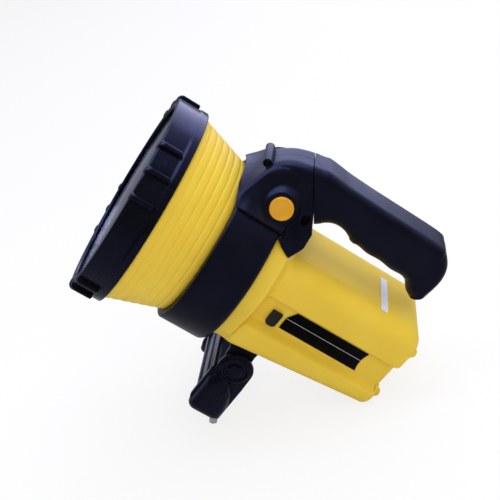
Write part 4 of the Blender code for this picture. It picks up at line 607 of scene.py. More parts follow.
def white_floor(scene):
    """A round sheet of white paper that keeps the lamp's shadow.

    Most of what the camera, gloss and glass see of it is a plain white of its own. For gloss,
    that white fades into a painted shade with the distance from a point behind the lamp.
    """
    angle = np.linspace(0, math.tau, FLOOR_SIDES, endpoint=False)
    rim = np.stack((FLOOR_RADIUS * np.cos(angle), FLOOR_RADIUS * np.sin(angle), 0 * angle), 1)
    mesh = bpy.data.meshes.new("floor")
    mesh.from_pydata(rim.tolist(), [], [list(range(FLOOR_SIDES))])
    floor = bpy.data.objects.new("floor", mesh)
    scene.collection.objects.link(floor)
    paper, tree, shader, place = new_material("white_paper_floor", Roughness=0.8, Specular_IOR_Level=0.1)
    fibres = add(tree, "ShaderNodeTexNoise", {
        "Vector": place, "Scale": per_metre(PAPER_FIBRE), "Detail": 3.0})
    tones = add(tree, "ShaderNodeValToRGB", {"Fac": fibres.outputs["Fac"]})
    first, last = tones.color_ramp.elements
    first.color, last.color = linear("#EDEDED"), linear("#F2F2F2")
    tree.links.new(tones.outputs["Color"], shader.inputs["Base Color"])
    ray = add(tree, "ShaderNodeLightPath")
    glossy = ray.outputs["Is Glossy Ray"]
    seen = add(tree, "ShaderNodeMath", {0: ray.outputs["Is Camera Ray"], 1: glossy}, operation="MAXIMUM")
    seen = add(tree, "ShaderNodeMath", {0: seen.outputs[0], 1: ray.outputs["Is Transmission Ray"]},
               operation="MAXIMUM")
    share = add(tree, "ShaderNodeMath", {0: seen.outputs[0], 1: FLOOR_WHITE}, operation="MULTIPLY")
    behind = add(tree, "ShaderNodeVectorMath", {0: place, 1: FLOOR_CENTRE}, operation="SUBTRACT")
    away = add(tree, "ShaderNodeVectorMath", {0: behind.outputs[0]}, operation="LENGTH")
    beyond = add(tree, "ShaderNodeMapRange", {
        "Value": away.outputs["Value"], "From Min": FLOOR_FADE[0], "From Max": FLOOR_FADE[1]})
    dim = add(tree, "ShaderNodeMath", {0: beyond.outputs["Result"], 1: glossy}, operation="MULTIPLY")
    # Painted shade: for gloss, the floor darkens towards this colour away from the point behind the lamp.
    shade = add(tree, "ShaderNodeMix", {
        "Factor": dim.outputs[0], "A": (1, 1, 1, 1), "B": linear(FLOOR_FAR_PAINTED_SHADE)}, data_type="RGBA")
    white = add(tree, "ShaderNodeEmission", {"Color": shade.outputs["Result"], "Strength": 1.0})
    mixed = add(tree, "ShaderNodeMixShader", {0: share.outputs[0], 1: shader.outputs[0], 2: white.outputs[0]})
    tree.links.new(mixed.outputs[0], tree.nodes["Material Output"].inputs["Surface"])
    mesh.materials.append(paper)


bpy.context.scene.view_settings.view_transform = "Standard"
photo_camera(bpy.context.scene)
soft_lamps(bpy.context.scene)
white_world(bpy.context.scene)
white_floor(bpy.context.scene)


# Front ring. Profiles are (x, radius) points, each with the radius of its corner.

RING_PROFILE = [(25.5, 80.6), (20.4, 80.6), (18.4, 79.85), (1.0, 79.75),
                (1.0, 73.4), (2.8, 72.5), (2.8, 77.4), (25.5, 77.4)]
RING_CORNERS = (1.0, 2.2, 2.2, 1.6, 0.8, 0.3, 0.3, 0.5)
RIB_PATH = np.array(((3.4, 75.0), (2.3, 77.1), (2.45, 79.7), (4.3, 81.1), (7.5, 81.1), (18.4, 81.1)))
RIB_HEIGHT, RIB_HALF_WIDTH, RIB_KNOB_WIDTH = 2.2, 2.05, 0.95
RIB_FRONT_END, RIB_BACK_END = 1.6, 1.2
RIB_KNOB_FADE = (4.0, 9.0)
RIB_SQUARENESS = 0.62
RIB_GROUPS, RIB_SPACING = 4, 15


def rib_shell(angle):
    """One rib: a section like a rounded box, carried along a path in the plane through the axis.

    The path runs from the ring's front face round its edge and back. The section's points are
    powers of the sine and cosine. It is thicker in front, and its ends close like a sphere's.
    """
    along = np.r_[0, np.cumsum(np.linalg.norm(np.diff(RIB_PATH, axis=0), axis=1))]
    tail = along[-1] - RIB_BACK_END
    s = np.r_[np.linspace(0, RIB_FRONT_END, 7)[:-1], np.linspace(RIB_FRONT_END, RIB_KNOB_FADE[1], 14)[:-1],
              np.linspace(RIB_KNOB_FADE[1], tail, 8)[:-1],
              tail + RIB_BACK_END * np.sin(np.linspace(0, math.pi / 2, 6))]
    path = through(along, RIB_PATH, s)
    ahead = unit(np.gradient(path, s, axis=0))
    normal = np.stack((-ahead[:, 1], ahead[:, 0]), 1)
    front = np.clip(1 - s / RIB_FRONT_END, 0, 1)
    back = np.clip(1 - (along[-1] - s) / RIB_BACK_END, 0, 1)
    close = np.sqrt(np.clip(1 - front ** 2, 0, 1)) * np.sqrt(np.clip(1 - back ** 2, 0, 1))
    knob = 1 - smoothstep(*RIB_KNOB_FADE, s)
    high, wide = RIB_HEIGHT * close, (RIB_HALF_WIDTH + RIB_KNOB_WIDTH * knob) * close
    turn = np.linspace(0, math.tau, 32, endpoint=False)
    lift = np.sign(np.sin(turn)) * np.abs(np.sin(turn)) ** RIB_SQUARENESS
    spread = np.sign(np.cos(turn)) * np.abs(np.cos(turn)) ** RIB_SQUARENESS
    flat = path[:, None] + normal[:, None] * (high[:, None] * lift)[..., None]
    across = wide[:, None] * spread
    a = math.radians(angle)
    outward, sideways = np.array((0, math.sin(a), math.cos(a))), np.array((0, math.cos(a), -math.sin(a)))
    rings = flat[..., :1] * np.array((1, 0, 0)) + flat[..., 1:] * outward + across[..., None] * sideways
    return shell(rings)


def front_ring():
    """The ring's wall, turned about the axis, and its ribs.

    The wall has rounded rims and a shallow step up from its panels to the smooth flange behind
    them. Twelve ribs stand on it in four groups of three.
    """
    wall = turned(rounded(RING_PROFILE, RING_CORNERS, 8), steps=180)
    ribs = [rib_shell(360 / RIB_GROUPS * (group + 0.5) + RIB_SPACING * (rib - 1))
            for group in range(RIB_GROUPS) for rib in range(3)]
    piece("front_ring", [wall] + ribs, "bezel", BLACK_GLOSS, ("bezel_ring",))


# Lens, reflector, cone and band.

LENS_RADIUS, LENS_FRONT, LENS_BULGE, LENS_BACK = 74.5, 3.9, 0.6, 5.6
LENS_RIM = [(3.9, 76.4), (4.1, 76.7), (5.4, 76.7), (5.6, 76.4)]
MIRROR_RIM, MIRROR_NECK, MIRROR_FOCUS, MIRROR_FRONT = 72.2, 11.0, 17.0, 8.3
MIRROR_FLANGE, MIRROR_WALL, MIRROR_TAIL = 76.8, 1.4, 4.4
CONE_FRONT, CONE_BACK = 25.5, 69.2
CONE_FRONT_RADIUS, CONE_BACK_RADIUS = 76.2, 62.4
HOOPS, HOOP_STEPS, HOOP_RISE, HOOP_FLATNESS = 7, 14, 0.55, 3.0
CONE_INSIDE = [(69.2, 61.6), (88.0, 61.6), (88.0, 59.0), (69.5, 59.0),
               (25.5, 73.0), (10.0, 74.4), (10.0, 77.0), (25.3, 77.0)]
BAND_PROFILE = [(69.5, 61.9), (69.5, 69.0), (106.7, 69.0), (106.7, 59.5), (88.2, 59.5), (88.2, 61.9)]
BAND_CORNERS = (0.3, 1.5, 4.5, 0.4, 0.2, 0.2)


def lens_disc():
    """A disc whose front face bulges towards its middle, by 1 less the square of the radius' share."""
    r = np.linspace(0, LENS_RADIUS, 24)
    front = np.stack((LENS_FRONT - LENS_BULGE * (1 - (r / LENS_RADIUS) ** 2), r), 1)
    back = np.stack((LENS_BACK + 0 * r, r), 1)[::-1]
    disc = turned(np.vstack((front, LENS_RIM, back)), steps=128)
    piece("lens_disc", [disc], "bezel", LENS, ("lens",))


def reflector_bowl():
    """A paraboloid: each radius r lies r^2 / (4 focus) in front of its vertex.

    A flat flange goes round its rim, and a neck behind it.
    """
    vertex = MIRROR_FRONT + MIRROR_RIM ** 2 / (4 * MIRROR_FOCUS)
    r = np.linspace(MIRROR_RIM, MIRROR_NECK, 60)
    inner = np.stack((vertex - r ** 2 / (4 * MIRROR_FOCUS), r), 1)
    outer = (inner + (MIRROR_WALL, MIRROR_WALL / 2))[::-1]
    tail = vertex - MIRROR_NECK ** 2 / (4 * MIRROR_FOCUS) + MIRROR_TAIL
    neck = [(tail, MIRROR_NECK), (tail, MIRROR_NECK + MIRROR_WALL)]
    profile = np.vstack(([(MIRROR_FRONT, MIRROR_FLANGE)], inner, neck, outer[1:],
                         [(MIRROR_FRONT + MIRROR_WALL, MIRROR_FLANGE)]))
    piece("reflector_bowl", [turned(profile, steps=128)], "lamp", MIRROR, ("reflector",))


def lamp_cone():
    """Seven shallow hoops between two radii.

    x runs along the cone's slope, and within each hoop the radius rises by 1 less a power of the
    distance from the hoop's middle.
    """
    x = np.linspace(CONE_FRONT, CONE_BACK, HOOPS * HOOP_STEPS + 1)
    place = (x - CONE_FRONT) / (CONE_BACK - CONE_FRONT) * HOOPS
    s = np.clip(place - np.minimum(np.floor(place), HOOPS - 1), 0, 1)
    slope = (CONE_BACK_RADIUS - CONE_FRONT_RADIUS) / (CONE_BACK - CONE_FRONT)
    r = CONE_FRONT_RADIUS + slope * (x - CONE_FRONT) + HOOP_RISE * (1 - np.abs(2 * s - 1) ** HOOP_FLATNESS)
    profile = np.vstack((np.stack((x, r), 1), CONE_INSIDE))
    piece("lamp_cone", [turned(profile, steps=180)], "lamp", YELLOW, ("lamp_housing",))


def wide_band():
    """The band: a straight wall with a small front rim and a large round rear edge, turned about the axis."""
    wall = turned(rounded(BAND_PROFILE, BAND_CORNERS, 8), steps=180)
    piece("wide_band", [wall], "lamp", BLACK_SATIN, ("collar_band",))


# Battery housing.

BOX_FRONT, BOX_REAR = 126.2, 247.0
BOX_HALF_WIDTH, BOX_TOP, BOX_BOTTOM, BOTTOM_RISE = 38.0, 40.2, -52.2, 12.0
REAR_SIDE_RADIUS, REAR_TOP_RADIUS = 6.5, 15.0
TOP_CORNER, TOP_CORNER_LEAST, LOW_CORNER, LOW_CORNER_LEAST = 16.0, 2.0, 10.5, 1.5
# Each side's channel: its depth, the middles of its two slopes, and their height.
CHANNEL_DEPTH, CHANNEL_TOP, CHANNEL_LOW, CHANNEL_SLOPE = 8.0, 4.5, -23.5, 6.5
NECK_START, NECK_STRAIGHT, NECK_RADIUS = 88.4, (100, 119), 59.2
SHOULDER, SHOULDER_BLEND = (119.4, 130.0), (119.4, 129.2)
BOX_STRAIGHT = (134.0, 228.0)
NUBS = ((27.0, 20.0), (-27.0, 20.0), (26.5, -27.5), (-26.5, -27.5))
NUB_PROFILE = [(-2.6, 0), (-2.6, 8.0), (-0.1, 7.4), (1.4, 4.2), (4.4, 3.0), (4.4, 0)]
NUB_CORNERS = (0, 0, 1.2, 2.2, 1.5, 0)
SOCKET_HOLE = [(-2, 0), (-2, 4.4), (6, 4.4), (6, 0)]
SOCKET = (144.0, -31.0, -12.5)


def body_bottom(x):
    """Height of the housing's underside, a straight line rising to the rear."""
    return BOX_BOTTOM + (x - BOX_FRONT) / (BOX_REAR - BOX_FRONT) * BOTTOM_RISE


def quarter_drop(x, radius):
    """How far a quarter circle that ends at the housing's rear has drawn a face in at x."""
    past = np.clip((x - BOX_REAR) / radius + 1, 0, 1)
    return radius * (1 - np.sqrt(np.clip(1 - past * past, 0, 1)))


def box_rings(x):
    """Sections of the housing at each x.

    From the top's middle down one side: the flat top, a rounded corner, a channel between two
    half cosine slopes, a rounded lower corner and the flat underside, then the other side mirrored.
    """
    x = np.asarray(x, float)[:, None]
    inset, drop = quarter_drop(x, REAR_SIDE_RADIUS), quarter_drop(x, REAR_TOP_RADIUS)
    width, top, bottom = BOX_HALF_WIDTH - inset, BOX_TOP - drop, body_bottom(x) + inset
    corner = np.maximum(TOP_CORNER - drop, TOP_CORNER_LEAST)
    low_corner = np.maximum(LOW_CORNER - inset, LOW_CORNER_LEAST)
    a = np.linspace(math.pi / 2, 0, 15)[1:]
    flat = np.linspace(0, 1, 9)[:-1] * (width - corner)
    share = np.linspace(0, 1, 13)
    ease = (1 - np.cos(math.pi * share)) / 2
    under = np.linspace(1, 0, 9)[1:] * (width - low_corner)
    y = np.concatenate((flat, width - corner + corner * np.cos(a), width - CHANNEL_DEPTH * ease,
                        width - CHANNEL_DEPTH * (1 - ease),
                        width - low_corner + low_corner * np.cos(math.pi / 2 - a), under), 1)
    z = np.concatenate((top + 0 * flat, top - corner + corner * np.sin(a),
                        CHANNEL_TOP + CHANNEL_SLOPE * (0.5 - share) + 0 * width,
                        CHANNEL_LOW + CHANNEL_SLOPE * (0.5 - share) + 0 * width,
                        bottom + low_corner - low_corner * np.sin(math.pi / 2 - a), bottom + 0 * under), 1)
    y, z = np.concatenate((y, -y[:, -2:0:-1]), 1), np.concatenate((z, z[:, -2:0:-1]), 1)
    return np.stack((x + 0 * y, y, z), -1)


def battery_housing():
    """The housing: a round neck, a shoulder, then the box with its rounded rear edge and four low nubs.

    Over the shoulder, the neck's circle turns into the box's section by an eased share of x.
    """
    x = np.r_[NECK_START, np.linspace(*NECK_STRAIGHT, 5), np.linspace(*SHOULDER, 22)]
    box = box_rings(np.maximum(x, BOX_FRONT))
    box[..., 0] = x[:, None]
    angle = np.arctan2(box[..., 2], box[..., 1])
    neck = np.stack((x[:, None] + 0 * angle, NECK_RADIUS * np.cos(angle), NECK_RADIUS * np.sin(angle)), -1)
    share = smoothstep(*SHOULDER_BLEND, x)[:, None, None]
    front = neck * (1 - share) + box * share
    rear = BOX_REAR - REAR_TOP_RADIUS * (1 - np.sin(np.linspace(0, math.pi / 2, 22)))
    rings = np.concatenate((front, box_rings(np.r_[np.linspace(*BOX_STRAIGHT, 12), rear])))
    nub = rounded(NUB_PROFILE, NUB_CORNERS, 6, closed=False)
    nubs = [turned(nub, (BOX_REAR, y, z), steps=32) for y, z in NUBS]
    hole = turned(SOCKET_HOLE, SOCKET, (0, 1, 0), 32)
    piece("battery_housing", [shell(rings)], "lamp", YELLOW, ("body_housing",), (hole,), nubs)


# Handle: two halves over the band, and the grip behind the slanted joint.

SEAM = np.array((116.4, 0.0, 81.2))
SEAM_ANGLE = math.radians(33.5)
SEAM_AXIS = np.array((math.cos(SEAM_ANGLE), 0.0, math.sin(SEAM_ANGLE)))
SEAM_SQUARE = np.array(((-90.0, -90.0), (90.0, -90.0), (90.0, 90.0), (-90.0, 90.0)))
BUTTON_FACE = np.array((97.9, -32.0, 69.8))
BUTTON_TILT = math.radians(12)
BUTTON_AXIS = np.array((0.0, -math.cos(BUTTON_TILT), math.sin(BUTTON_TILT)))
# x, the top's height, and the angle and radius of the lip that sits on the band.
HEAD_KEYS = np.array((
    (64.0, 70.0, 19.0, 69.9), (66.8, 72.0, 31.0, 70.2), (70.5, 76.0, 34.5, 70.7), (76.7, 86.2, 34.5, 71.9),
    (82.0, 91.8, 34.5, 71.9), (88.9, 96.6, 34.5, 71.9), (96.0, 99.4, 34.5, 71.9), (103.5, 101.3, 34.5, 71.9),
    (107.0, 101.8, 34.5, 70.0), (109.5, 102.0, 35.5, 64.8), (113.0, 102.2, 38.0, 62.2),
    (120.0, 102.3, 42.0, 61.8), (127.2, 102.3, 46.0, 61.7)))
RAY_POINTS, RAY_ORIGIN, RAY_LONGEST = 76, 50.0, 60.0
PARTING = 0.15
HEAD_HALF_WIDTH, HEAD_WIDENING, WIDENING_FROM_TO = 15.5, 1.5, (80.0, 110.0)
FLARE_HEIGHT, FLARE_POWER = 93.0, 2.2
FLAT_TOP_FROM_TO = (66.0, 84.0)
EDGE_SOFTNESS, EDGE_SOFTENING, SOFTENING_FROM_TO = 3.0, 5.0, (70.0, 86.0)
BAND_BACK, OVER_BAND, OVER_NECK, LIP_ROUND = 107.0, 69.4, 59.6, 1.4


def head_rings(side):
    """Sections of one half across the lamp, which go out over its surface and back along the band.

    Rays leave a point on the parting line, and each ends where the smooth maximum of two
    distances is nought: one to the top, which is flat behind and a circle round the beam in
    front, and one to the side. The side is upright above. Below that it is a flare, whose
    radius falls to the lip's by a power of the angle's share. The lip has a round rim.
    """
    x = np.unique(np.r_[np.linspace(64.0, 71.0, 15), np.linspace(71.0, 106.9, 40),
                        np.linspace(107.1, 127.1, 26)])
    top, lip_angle, lip = through(HEAD_KEYS[:, 0], HEAD_KEYS[:, 1:], x).T[:, :, None]
    half = HEAD_HALF_WIDTH + HEAD_WIDENING * smoothstep(*WIDENING_FROM_TO, x)[:, None]
    begin, end = np.arctan2(half, FLARE_HEIGHT), np.radians(lip_angle)
    start = np.hypot(half, FLARE_HEIGHT)
    flat_share = smoothstep(*FLAT_TOP_FROM_TO, x)[:, None]
    softness = EDGE_SOFTNESS + EDGE_SOFTENING * smoothstep(*SOFTENING_FROM_TO, x)[:, None]
    first = np.arctan2(PARTING, top - RAY_ORIGIN)
    last = np.arctan2(lip * np.sin(end), lip * np.cos(end) - RAY_ORIGIN)
    turn = first + (last - first) * np.linspace(0, 1, RAY_POINTS)
    low, high = np.zeros_like(turn), np.full_like(turn, RAY_LONGEST)
    for _ in range(30):
        reach = (low + high) / 2
        y, z = reach * np.sin(turn), RAY_ORIGIN + reach * np.cos(turn)
        angle, radius = np.arctan2(y, z), np.hypot(y, z)
        share = np.clip((angle - begin) / (end - begin), 0, 1)
        flare = lip + (start - lip) * (1 - share) ** FLARE_POWER
        slope = -(start - lip) * FLARE_POWER * (1 - share) ** (FLARE_POWER - 1) / (end - begin)
        upright = half / np.maximum(np.sin(angle), 1e-3)
        past_flare = (radius - flare) / np.sqrt(1 + (slope / flare) ** 2)
        past_side = np.where(angle < begin, (radius - upright) * np.sin(angle), past_flare)
        circle = np.sqrt(np.maximum(top ** 2 - y ** 2, 1.0))
        past_top = z - (circle + (top - circle) * flat_share)
        near = np.clip(1 - np.abs(past_side - past_top) / softness, 0, 1)
        outside = np.maximum(past_side, past_top) + softness / 4 * near ** 2 > 0
        low, high = np.where(outside, low, reach), np.where(outside, reach, high)
    radius, angle = np.hypot(y, z)[:, -1:], np.arctan2(y, z)[:, -1:]
    floor = np.where(x < BAND_BACK, OVER_BAND, OVER_NECK)[:, None]
    rim = np.linspace(0, math.pi, 9)[1:-1]
    centre, thick = (radius + floor) / 2, (radius - floor) / 2
    rim_radius = centre + thick * np.cos(rim)
    rim_angle = angle + np.minimum(thick, LIP_ROUND) * np.sin(rim) / centre
    under = np.linspace(1, 0, 16)
    r = np.concatenate((rim_radius, floor + 0 * under), 1)
    a = np.concatenate((rim_angle, angle * under), 1)
    y = np.concatenate((y, np.maximum(r * np.sin(a), PARTING)), 1)
    z = np.concatenate((z, r * np.cos(a)), 1)
    return np.stack((x[:, None] + 0 * y, side * y, z), -1)


# The first of a section's points that may move, and how far from the button's axis they do.
BOSS_FIRST, BOSS_REACH = 8, 30.0
BOSS_DEPTH, BOSS_RADIUS, BOSS_STEEPNESS, BOSS_BLEND = 1.4, 12.0, 1.9, 6.0
# Points that stand past the pad keep a share of that, which eases from this to 1 over these distances.
BOSS_SHARE, BOSS_FALL = 0.45, (10.5, 17.0)


def boss(rings):
    """Raises the side round the button.

    Points move along the button's axis towards a pad just below its face, which falls away as a
    cone outside its radius. Both meet in a rounded hollow, by a smooth maximum.
    """
    outer = rings[:, BOSS_FIRST:RAY_POINTS]
    away = outer - BUTTON_FACE
    height = away @ BUTTON_AXIS
    flat = np.linalg.norm(away - height[..., None] * BUTTON_AXIS, axis=-1)
    pad = -BOSS_DEPTH - BOSS_STEEPNESS * np.maximum(flat - BOSS_RADIUS, 0)
    blend = np.clip(0.5 + (pad - height) / BOSS_BLEND, 0, 1)
    raised = height + (pad - height) * blend + BOSS_BLEND / 2 * blend * (1 - blend)
    share = BOSS_SHARE + (1 - BOSS_SHARE) * smoothstep(*BOSS_FALL, flat)
    sunk = np.minimum(raised, pad + (raised - pad) * share)
    moved = np.where(raised > pad, sunk, raised) - height
    near = (flat < BOSS_REACH)[..., None]
    rings[:, BOSS_FIRST:RAY_POINTS] = np.where(near, outer + moved[..., None] * BUTTON_AXIS, outer)
    return rings


def beyond_seam(low, high):
    """A square block across the handle, between two distances from the slanted joint."""
    return slab(SEAM_SQUARE, low, high, 0.0, 1, u=(0, 1, 0), v=np.cross(SEAM_AXIS, (0, 1, 0)), w=SEAM_AXIS,
                origin=SEAM)


# Where the halves end and the grip begins, from the slanted joint, and how far their cutters reach.
HALVES_END, GRIP_START, CUT_REACH = -0.4, 0.2, 90
SKIRT_REAR, SKIRT_RADIUS, SKIRT_CUT_HALF, SKIRT_CUT_REAR = 127.6, 61.7, 80, 150.0
SKIRT_FALL, SKIRT_FROM, SKIRT_SPAN = 8.6, 22, 24
BUTTON_BORE = [(6.7, 0), (6.7, 9.25), (-14, 9.25), (-14, 0)]
SCREW_SEAT = [(0, 0), (0, 2.9), (30, 2.9), (30, 0)]
SCREW_X, SCREW_DEPTH, SCREW_ANGLE = 118.0, 64.0, 21


def handle_halves():
    """Both halves, cut at the slanted joint and along the skirt's rear edge.

    That edge runs forward by the square of the angle past a first one. The near half also has
    the button's recess, and each half a screw's recess in its skirt.
    """
    fall = np.radians(np.linspace(20, 50, 16))
    past = np.clip((np.degrees(fall) - SKIRT_FROM) / SKIRT_SPAN, 0, 2)
    tail = np.stack((SKIRT_REAR - SKIRT_FALL * past ** 2, SKIRT_RADIUS * np.cos(fall)), 1)
    behind = [(SKIRT_CUT_REAR, tail[-1, 1]), (SKIRT_CUT_REAR, tail[0, 1])]
    rear = slab(np.vstack((tail, behind)), -SKIRT_CUT_HALF, SKIRT_CUT_HALF, 0.0, 1)
    bore = turned(BUTTON_BORE, BUTTON_FACE, -BUTTON_AXIS, 64)
    for side, name, node in ((-1, "handle_half_near", "handle_head_near"),
                             (1, "handle_half_far", "handle_head_far")):
        a = math.radians(SCREW_ANGLE) * side
        outward = np.array((0, math.sin(a), math.cos(a)))
        seat = turned(SCREW_SEAT, np.array((SCREW_X, 0, 0)) + outward * SCREW_DEPTH, outward, 32)
        rings, cutters = head_rings(side), (beyond_seam(HALVES_END, CUT_REACH), rear, seat)
        if side < 0:
            rings, cutters = boss(rings), (*cutters, bore)
        piece(name, [shell(rings)], "lamp", BLACK_SATIN, (node,), cutters)


# Upper (x, z) and lower (x, z) edge at stations along the grip and round its free end.
GRIP_PAIRS = np.array((
    (98.0, 101.0, 119.0, 56.0), (109.5, 102.8, 130.5, 63.8), (115.0, 104.1, 134.5, 67.8),
    (123.0, 103.5, 139.5, 70.8), (132.0, 102.5, 145.0, 71.6), (142.0, 102.0, 150.5, 70.6),
    (152.0, 101.7, 155.8, 68.0), (160.0, 101.5, 160.5, 65.5), (215.0, 100.4, 211.0, 62.0),
    (222.0, 97.3, 212.5, 60.1), (228.0, 91.7, 213.5, 58.9), (231.8, 84.9, 215.0, 57.0),
    (233.4, 76.0, 217.2, 54.8), (233.0, 66.5, 219.6, 53.3), (231.4, 59.2, 222.2, 52.6)))
# The station before the straight stretch, which has the finger waves, and the one after it.
WAVES_START, WAVES_END = 7, 8
WAVES, WAVE_HEIGHT, WAVES_SHARE = 3, 0.9, 0.95
GRIP_HALF_WIDTH, GRIP_CORNER, GRIP_CORNER_SHARE = 17.0, 8.0, 0.45
GRIP_DOME, DOME_SCALE = 2.4, 0.999
GRIP_DISC = [(-0.1, 0), (-0.1, 13.0), (4.0, 13.0), (4.0, 0)]


def handle_grip():
    """The grip: rounded rectangles between an upper and a lower edge line.

    The lines run along it and round its free end. Low waves, each 1 less a cosine, lift the
    lower line under the fingers, and the last sections close like a dome.
    """
    key = np.arange(len(GRIP_PAIRS), dtype=float)
    u = np.unique(np.r_[np.linspace(0, WAVES_START, 50), np.linspace(WAVES_START, WAVES_END, 60),
                        np.linspace(WAVES_END, len(GRIP_PAIRS) - 1, 60)])
    top, low = np.split(through(key, GRIP_PAIRS, u), 2, axis=1)
    along = np.clip((u - WAVES_START) / WAVES_SHARE, 0, 1)
    wave = WAVE_HEIGHT * (1 - np.cos(math.tau * WAVES * along)) / 2
    wave = np.where((u > WAVES_START) & (u < WAVES_END), wave, 0)
    low = low + wave[:, None] * unit(top - low)
    rise = np.linalg.norm(top - low, axis=1)
    corner = np.minimum(GRIP_CORNER, rise * GRIP_CORNER_SHARE)[:, None]
    half, height = GRIP_HALF_WIDTH, rise[:, None]
    a = np.linspace(0, math.pi / 2, 12)
    y = np.concatenate((half - corner + corner * np.cos(a), corner - half - corner * np.sin(a),
                        corner - half - corner * np.cos(a), half - corner + corner * np.sin(a)), 1)
    z = np.concatenate((height - corner + corner * np.sin(a), height - corner + corner * np.cos(a),
                        corner - corner * np.sin(a), corner - corner * np.cos(a)), 1)
    up = unit(top - low)
    rings = np.stack((low[:, :1] + up[:, :1] * z, y, low[:, 1:] + up[:, 1:] * z), -1)
    last = rings[-1]
    centre = last.mean(0)
    ahead = unit(np.array((-up[-1, 1], 0, up[-1, 0])))
    if ahead @ (centre - rings[-3].mean(0)) < 0:
        ahead = -ahead
    t = np.linspace(0, math.pi / 2, 8)[1:, None, None]
    dome = centre + (last - centre) * np.cos(t) * DOME_SCALE + ahead * GRIP_DOME * np.sin(t)
    rings = np.concatenate((rings, dome))
    disc = turned(rounded(GRIP_DISC, (0, 0.1, 0.1, 0), 2, closed=False), SEAM, SEAM_AXIS, 48)
    piece("grip", [shell(rings)], "grip", BLACK_SATIN, ("handle_grip",),
          (beyond_seam(-CUT_REACH, GRIP_START),), (disc,))


BUTTON_PROFILE = [(0.45, 0), (0.35, 6.6), (0.0, 7.4), (0.0, 8.8),
                  (3.8, 8.8), (3.8, 1.7), (8.3, 1.7), (8.3, 0)]
BUTTON_CORNERS = (0, 1.2, 0.7, 1.3, 0.2, 0.2, 0.2, 0)
TUBE_CENTRE = np.array((74.0, 0.0, 86.0))
TUBE_PROFILE = [(-13.6, 2.2), (-13.6, 3.4), (13.6, 3.4), (13.6, 2.2)]
TUBE_CORNERS = (0.4, 0.5, 0.5, 0.4)


def button_and_tube():
    """The button, a rim round a barely dished face, and the tube, a wall with round ends, both turned."""
    button = turned(rounded(BUTTON_PROFILE, BUTTON_CORNERS, 7, closed=False), BUTTON_FACE, -BUTTON_AXIS, 72)
    piece("button_disc", [button], "button", BUTTON, ("push_button",))
    tube = turned(rounded(TUBE_PROFILE, TUBE_CORNERS, 5), TUBE_CENTRE, (0, 1, 0), 40)
    piece("cord_tube", [tube], "lamp", BLACK_SATIN, ("strap_bar",))


# Labels, sticker and cap.

LABEL_FRONT, LABEL_REAR, LABEL_LOW, LABEL_TOP = 152.0, 222.0, -18.0, 1.2
LABEL_END_SAG, LABEL_CUT_X, LABEL_CUT_Z = 1.8, 5.0, 8.5
LABEL_FACES, LABEL_EDGE = (30.3, 30.8), 0.12
STICKER_X = (205.0, 211.0)
STICKER_HEIGHT, STICKER_THICKNESS, STICKER_BEND = 40.5, 0.35, 16.25
STICKER_START, STICKER_LENGTH, STICKER_FLAT = -14.0, 42.5, 22
CAP_OUTLINE = [(139.6, -19.5), (148.4, -19.5), (148.4, -5.5), (139.6, -5.5)]
CAP_CORNERS = (3.0, 3.0, 1.0, 1.0)
CAP_FACES, CAP_EDGE = (-33.3, -30.3), 0.8
PLUG = (144.0, -31.8, -12.5)
PLUG_PROFILE = [(0, 0), (0, 2.1), (3.4, 2.1), (3.4, 0)]
PLUG_CORNERS = (0, 0.3, 0.5, 0)


def label_outline():
    """Side view of the label: its upper front corner is cut off, and its rear end is a shallow parabola."""
    t = np.linspace(-1, 1, 15)
    middle, half = (LABEL_LOW + LABEL_TOP) / 2, (LABEL_TOP - LABEL_LOW) / 2
    end = np.stack((LABEL_REAR - LABEL_END_SAG * (1 - t ** 2), middle + half * t), 1)
    return np.vstack(([(LABEL_FRONT, LABEL_LOW)], end,
                      [(LABEL_FRONT + LABEL_CUT_X, LABEL_TOP), (LABEL_FRONT, LABEL_TOP - LABEL_CUT_Z)]))


def labels_and_cap():
    """Thin plates in the channels, the blank sticker, and the socket's flap with its plug.

    The sticker is a strip along a line that is straight on top and then a circle's arc, as the
    housing's rounded edge is.
    """
    for side, name in ((-1, "near"), (1, "far")):
        low, high = sorted(side * face for face in LABEL_FACES)
        piece("label_" + name, [slab(label_outline(), low, high, LABEL_EDGE, 2)], "lamp", LABEL,
              ("side_label_" + name,))
    s = STICKER_LENGTH * np.linspace(0, 1, 60) + STICKER_START
    bend = np.maximum(s - STICKER_FLAT, 0) / STICKER_BEND
    y = -np.where(s < STICKER_FLAT, s, STICKER_FLAT + STICKER_BEND * np.sin(bend))
    z = np.where(s < STICKER_FLAT, STICKER_HEIGHT, STICKER_HEIGHT - STICKER_BEND * (1 - np.cos(bend)))
    normal = np.stack((-np.sin(bend), np.cos(bend)), 1)
    line = np.stack((y, z), 1)
    loop = np.vstack((line, (line + normal * STICKER_THICKNESS)[::-1]))
    rings = np.stack([np.column_stack((np.full(len(loop), x), loop)) for x in STICKER_X])
    piece("blank_sticker", [shell(rings)], "lamp", STICKER, ("top_sticker",))
    cap = slab(rounded(CAP_OUTLINE, CAP_CORNERS, 6), *CAP_FACES, CAP_EDGE, 5)
    plug = turned(rounded(PLUG_PROFILE, PLUG_CORNERS, 4, closed=False), PLUG, (0, 1, 0), 24)
    piece("socket_flap", [cap, plug], "cap", RUBBER, ("socket_cap",))


# Leg, its bracket, pin and tips. Outlines are (x, z) points seen from the side.

PIVOT = np.array((145.0, -69.33))


def circle_part(centre, radius, start, end, steps):
    """Points on an arc, in degrees."""
    a = np.radians(np.linspace(start, end, steps + 1))
    return np.stack((centre[0] + radius * np.cos(a), centre[1] + radius * np.sin(a)), 1)


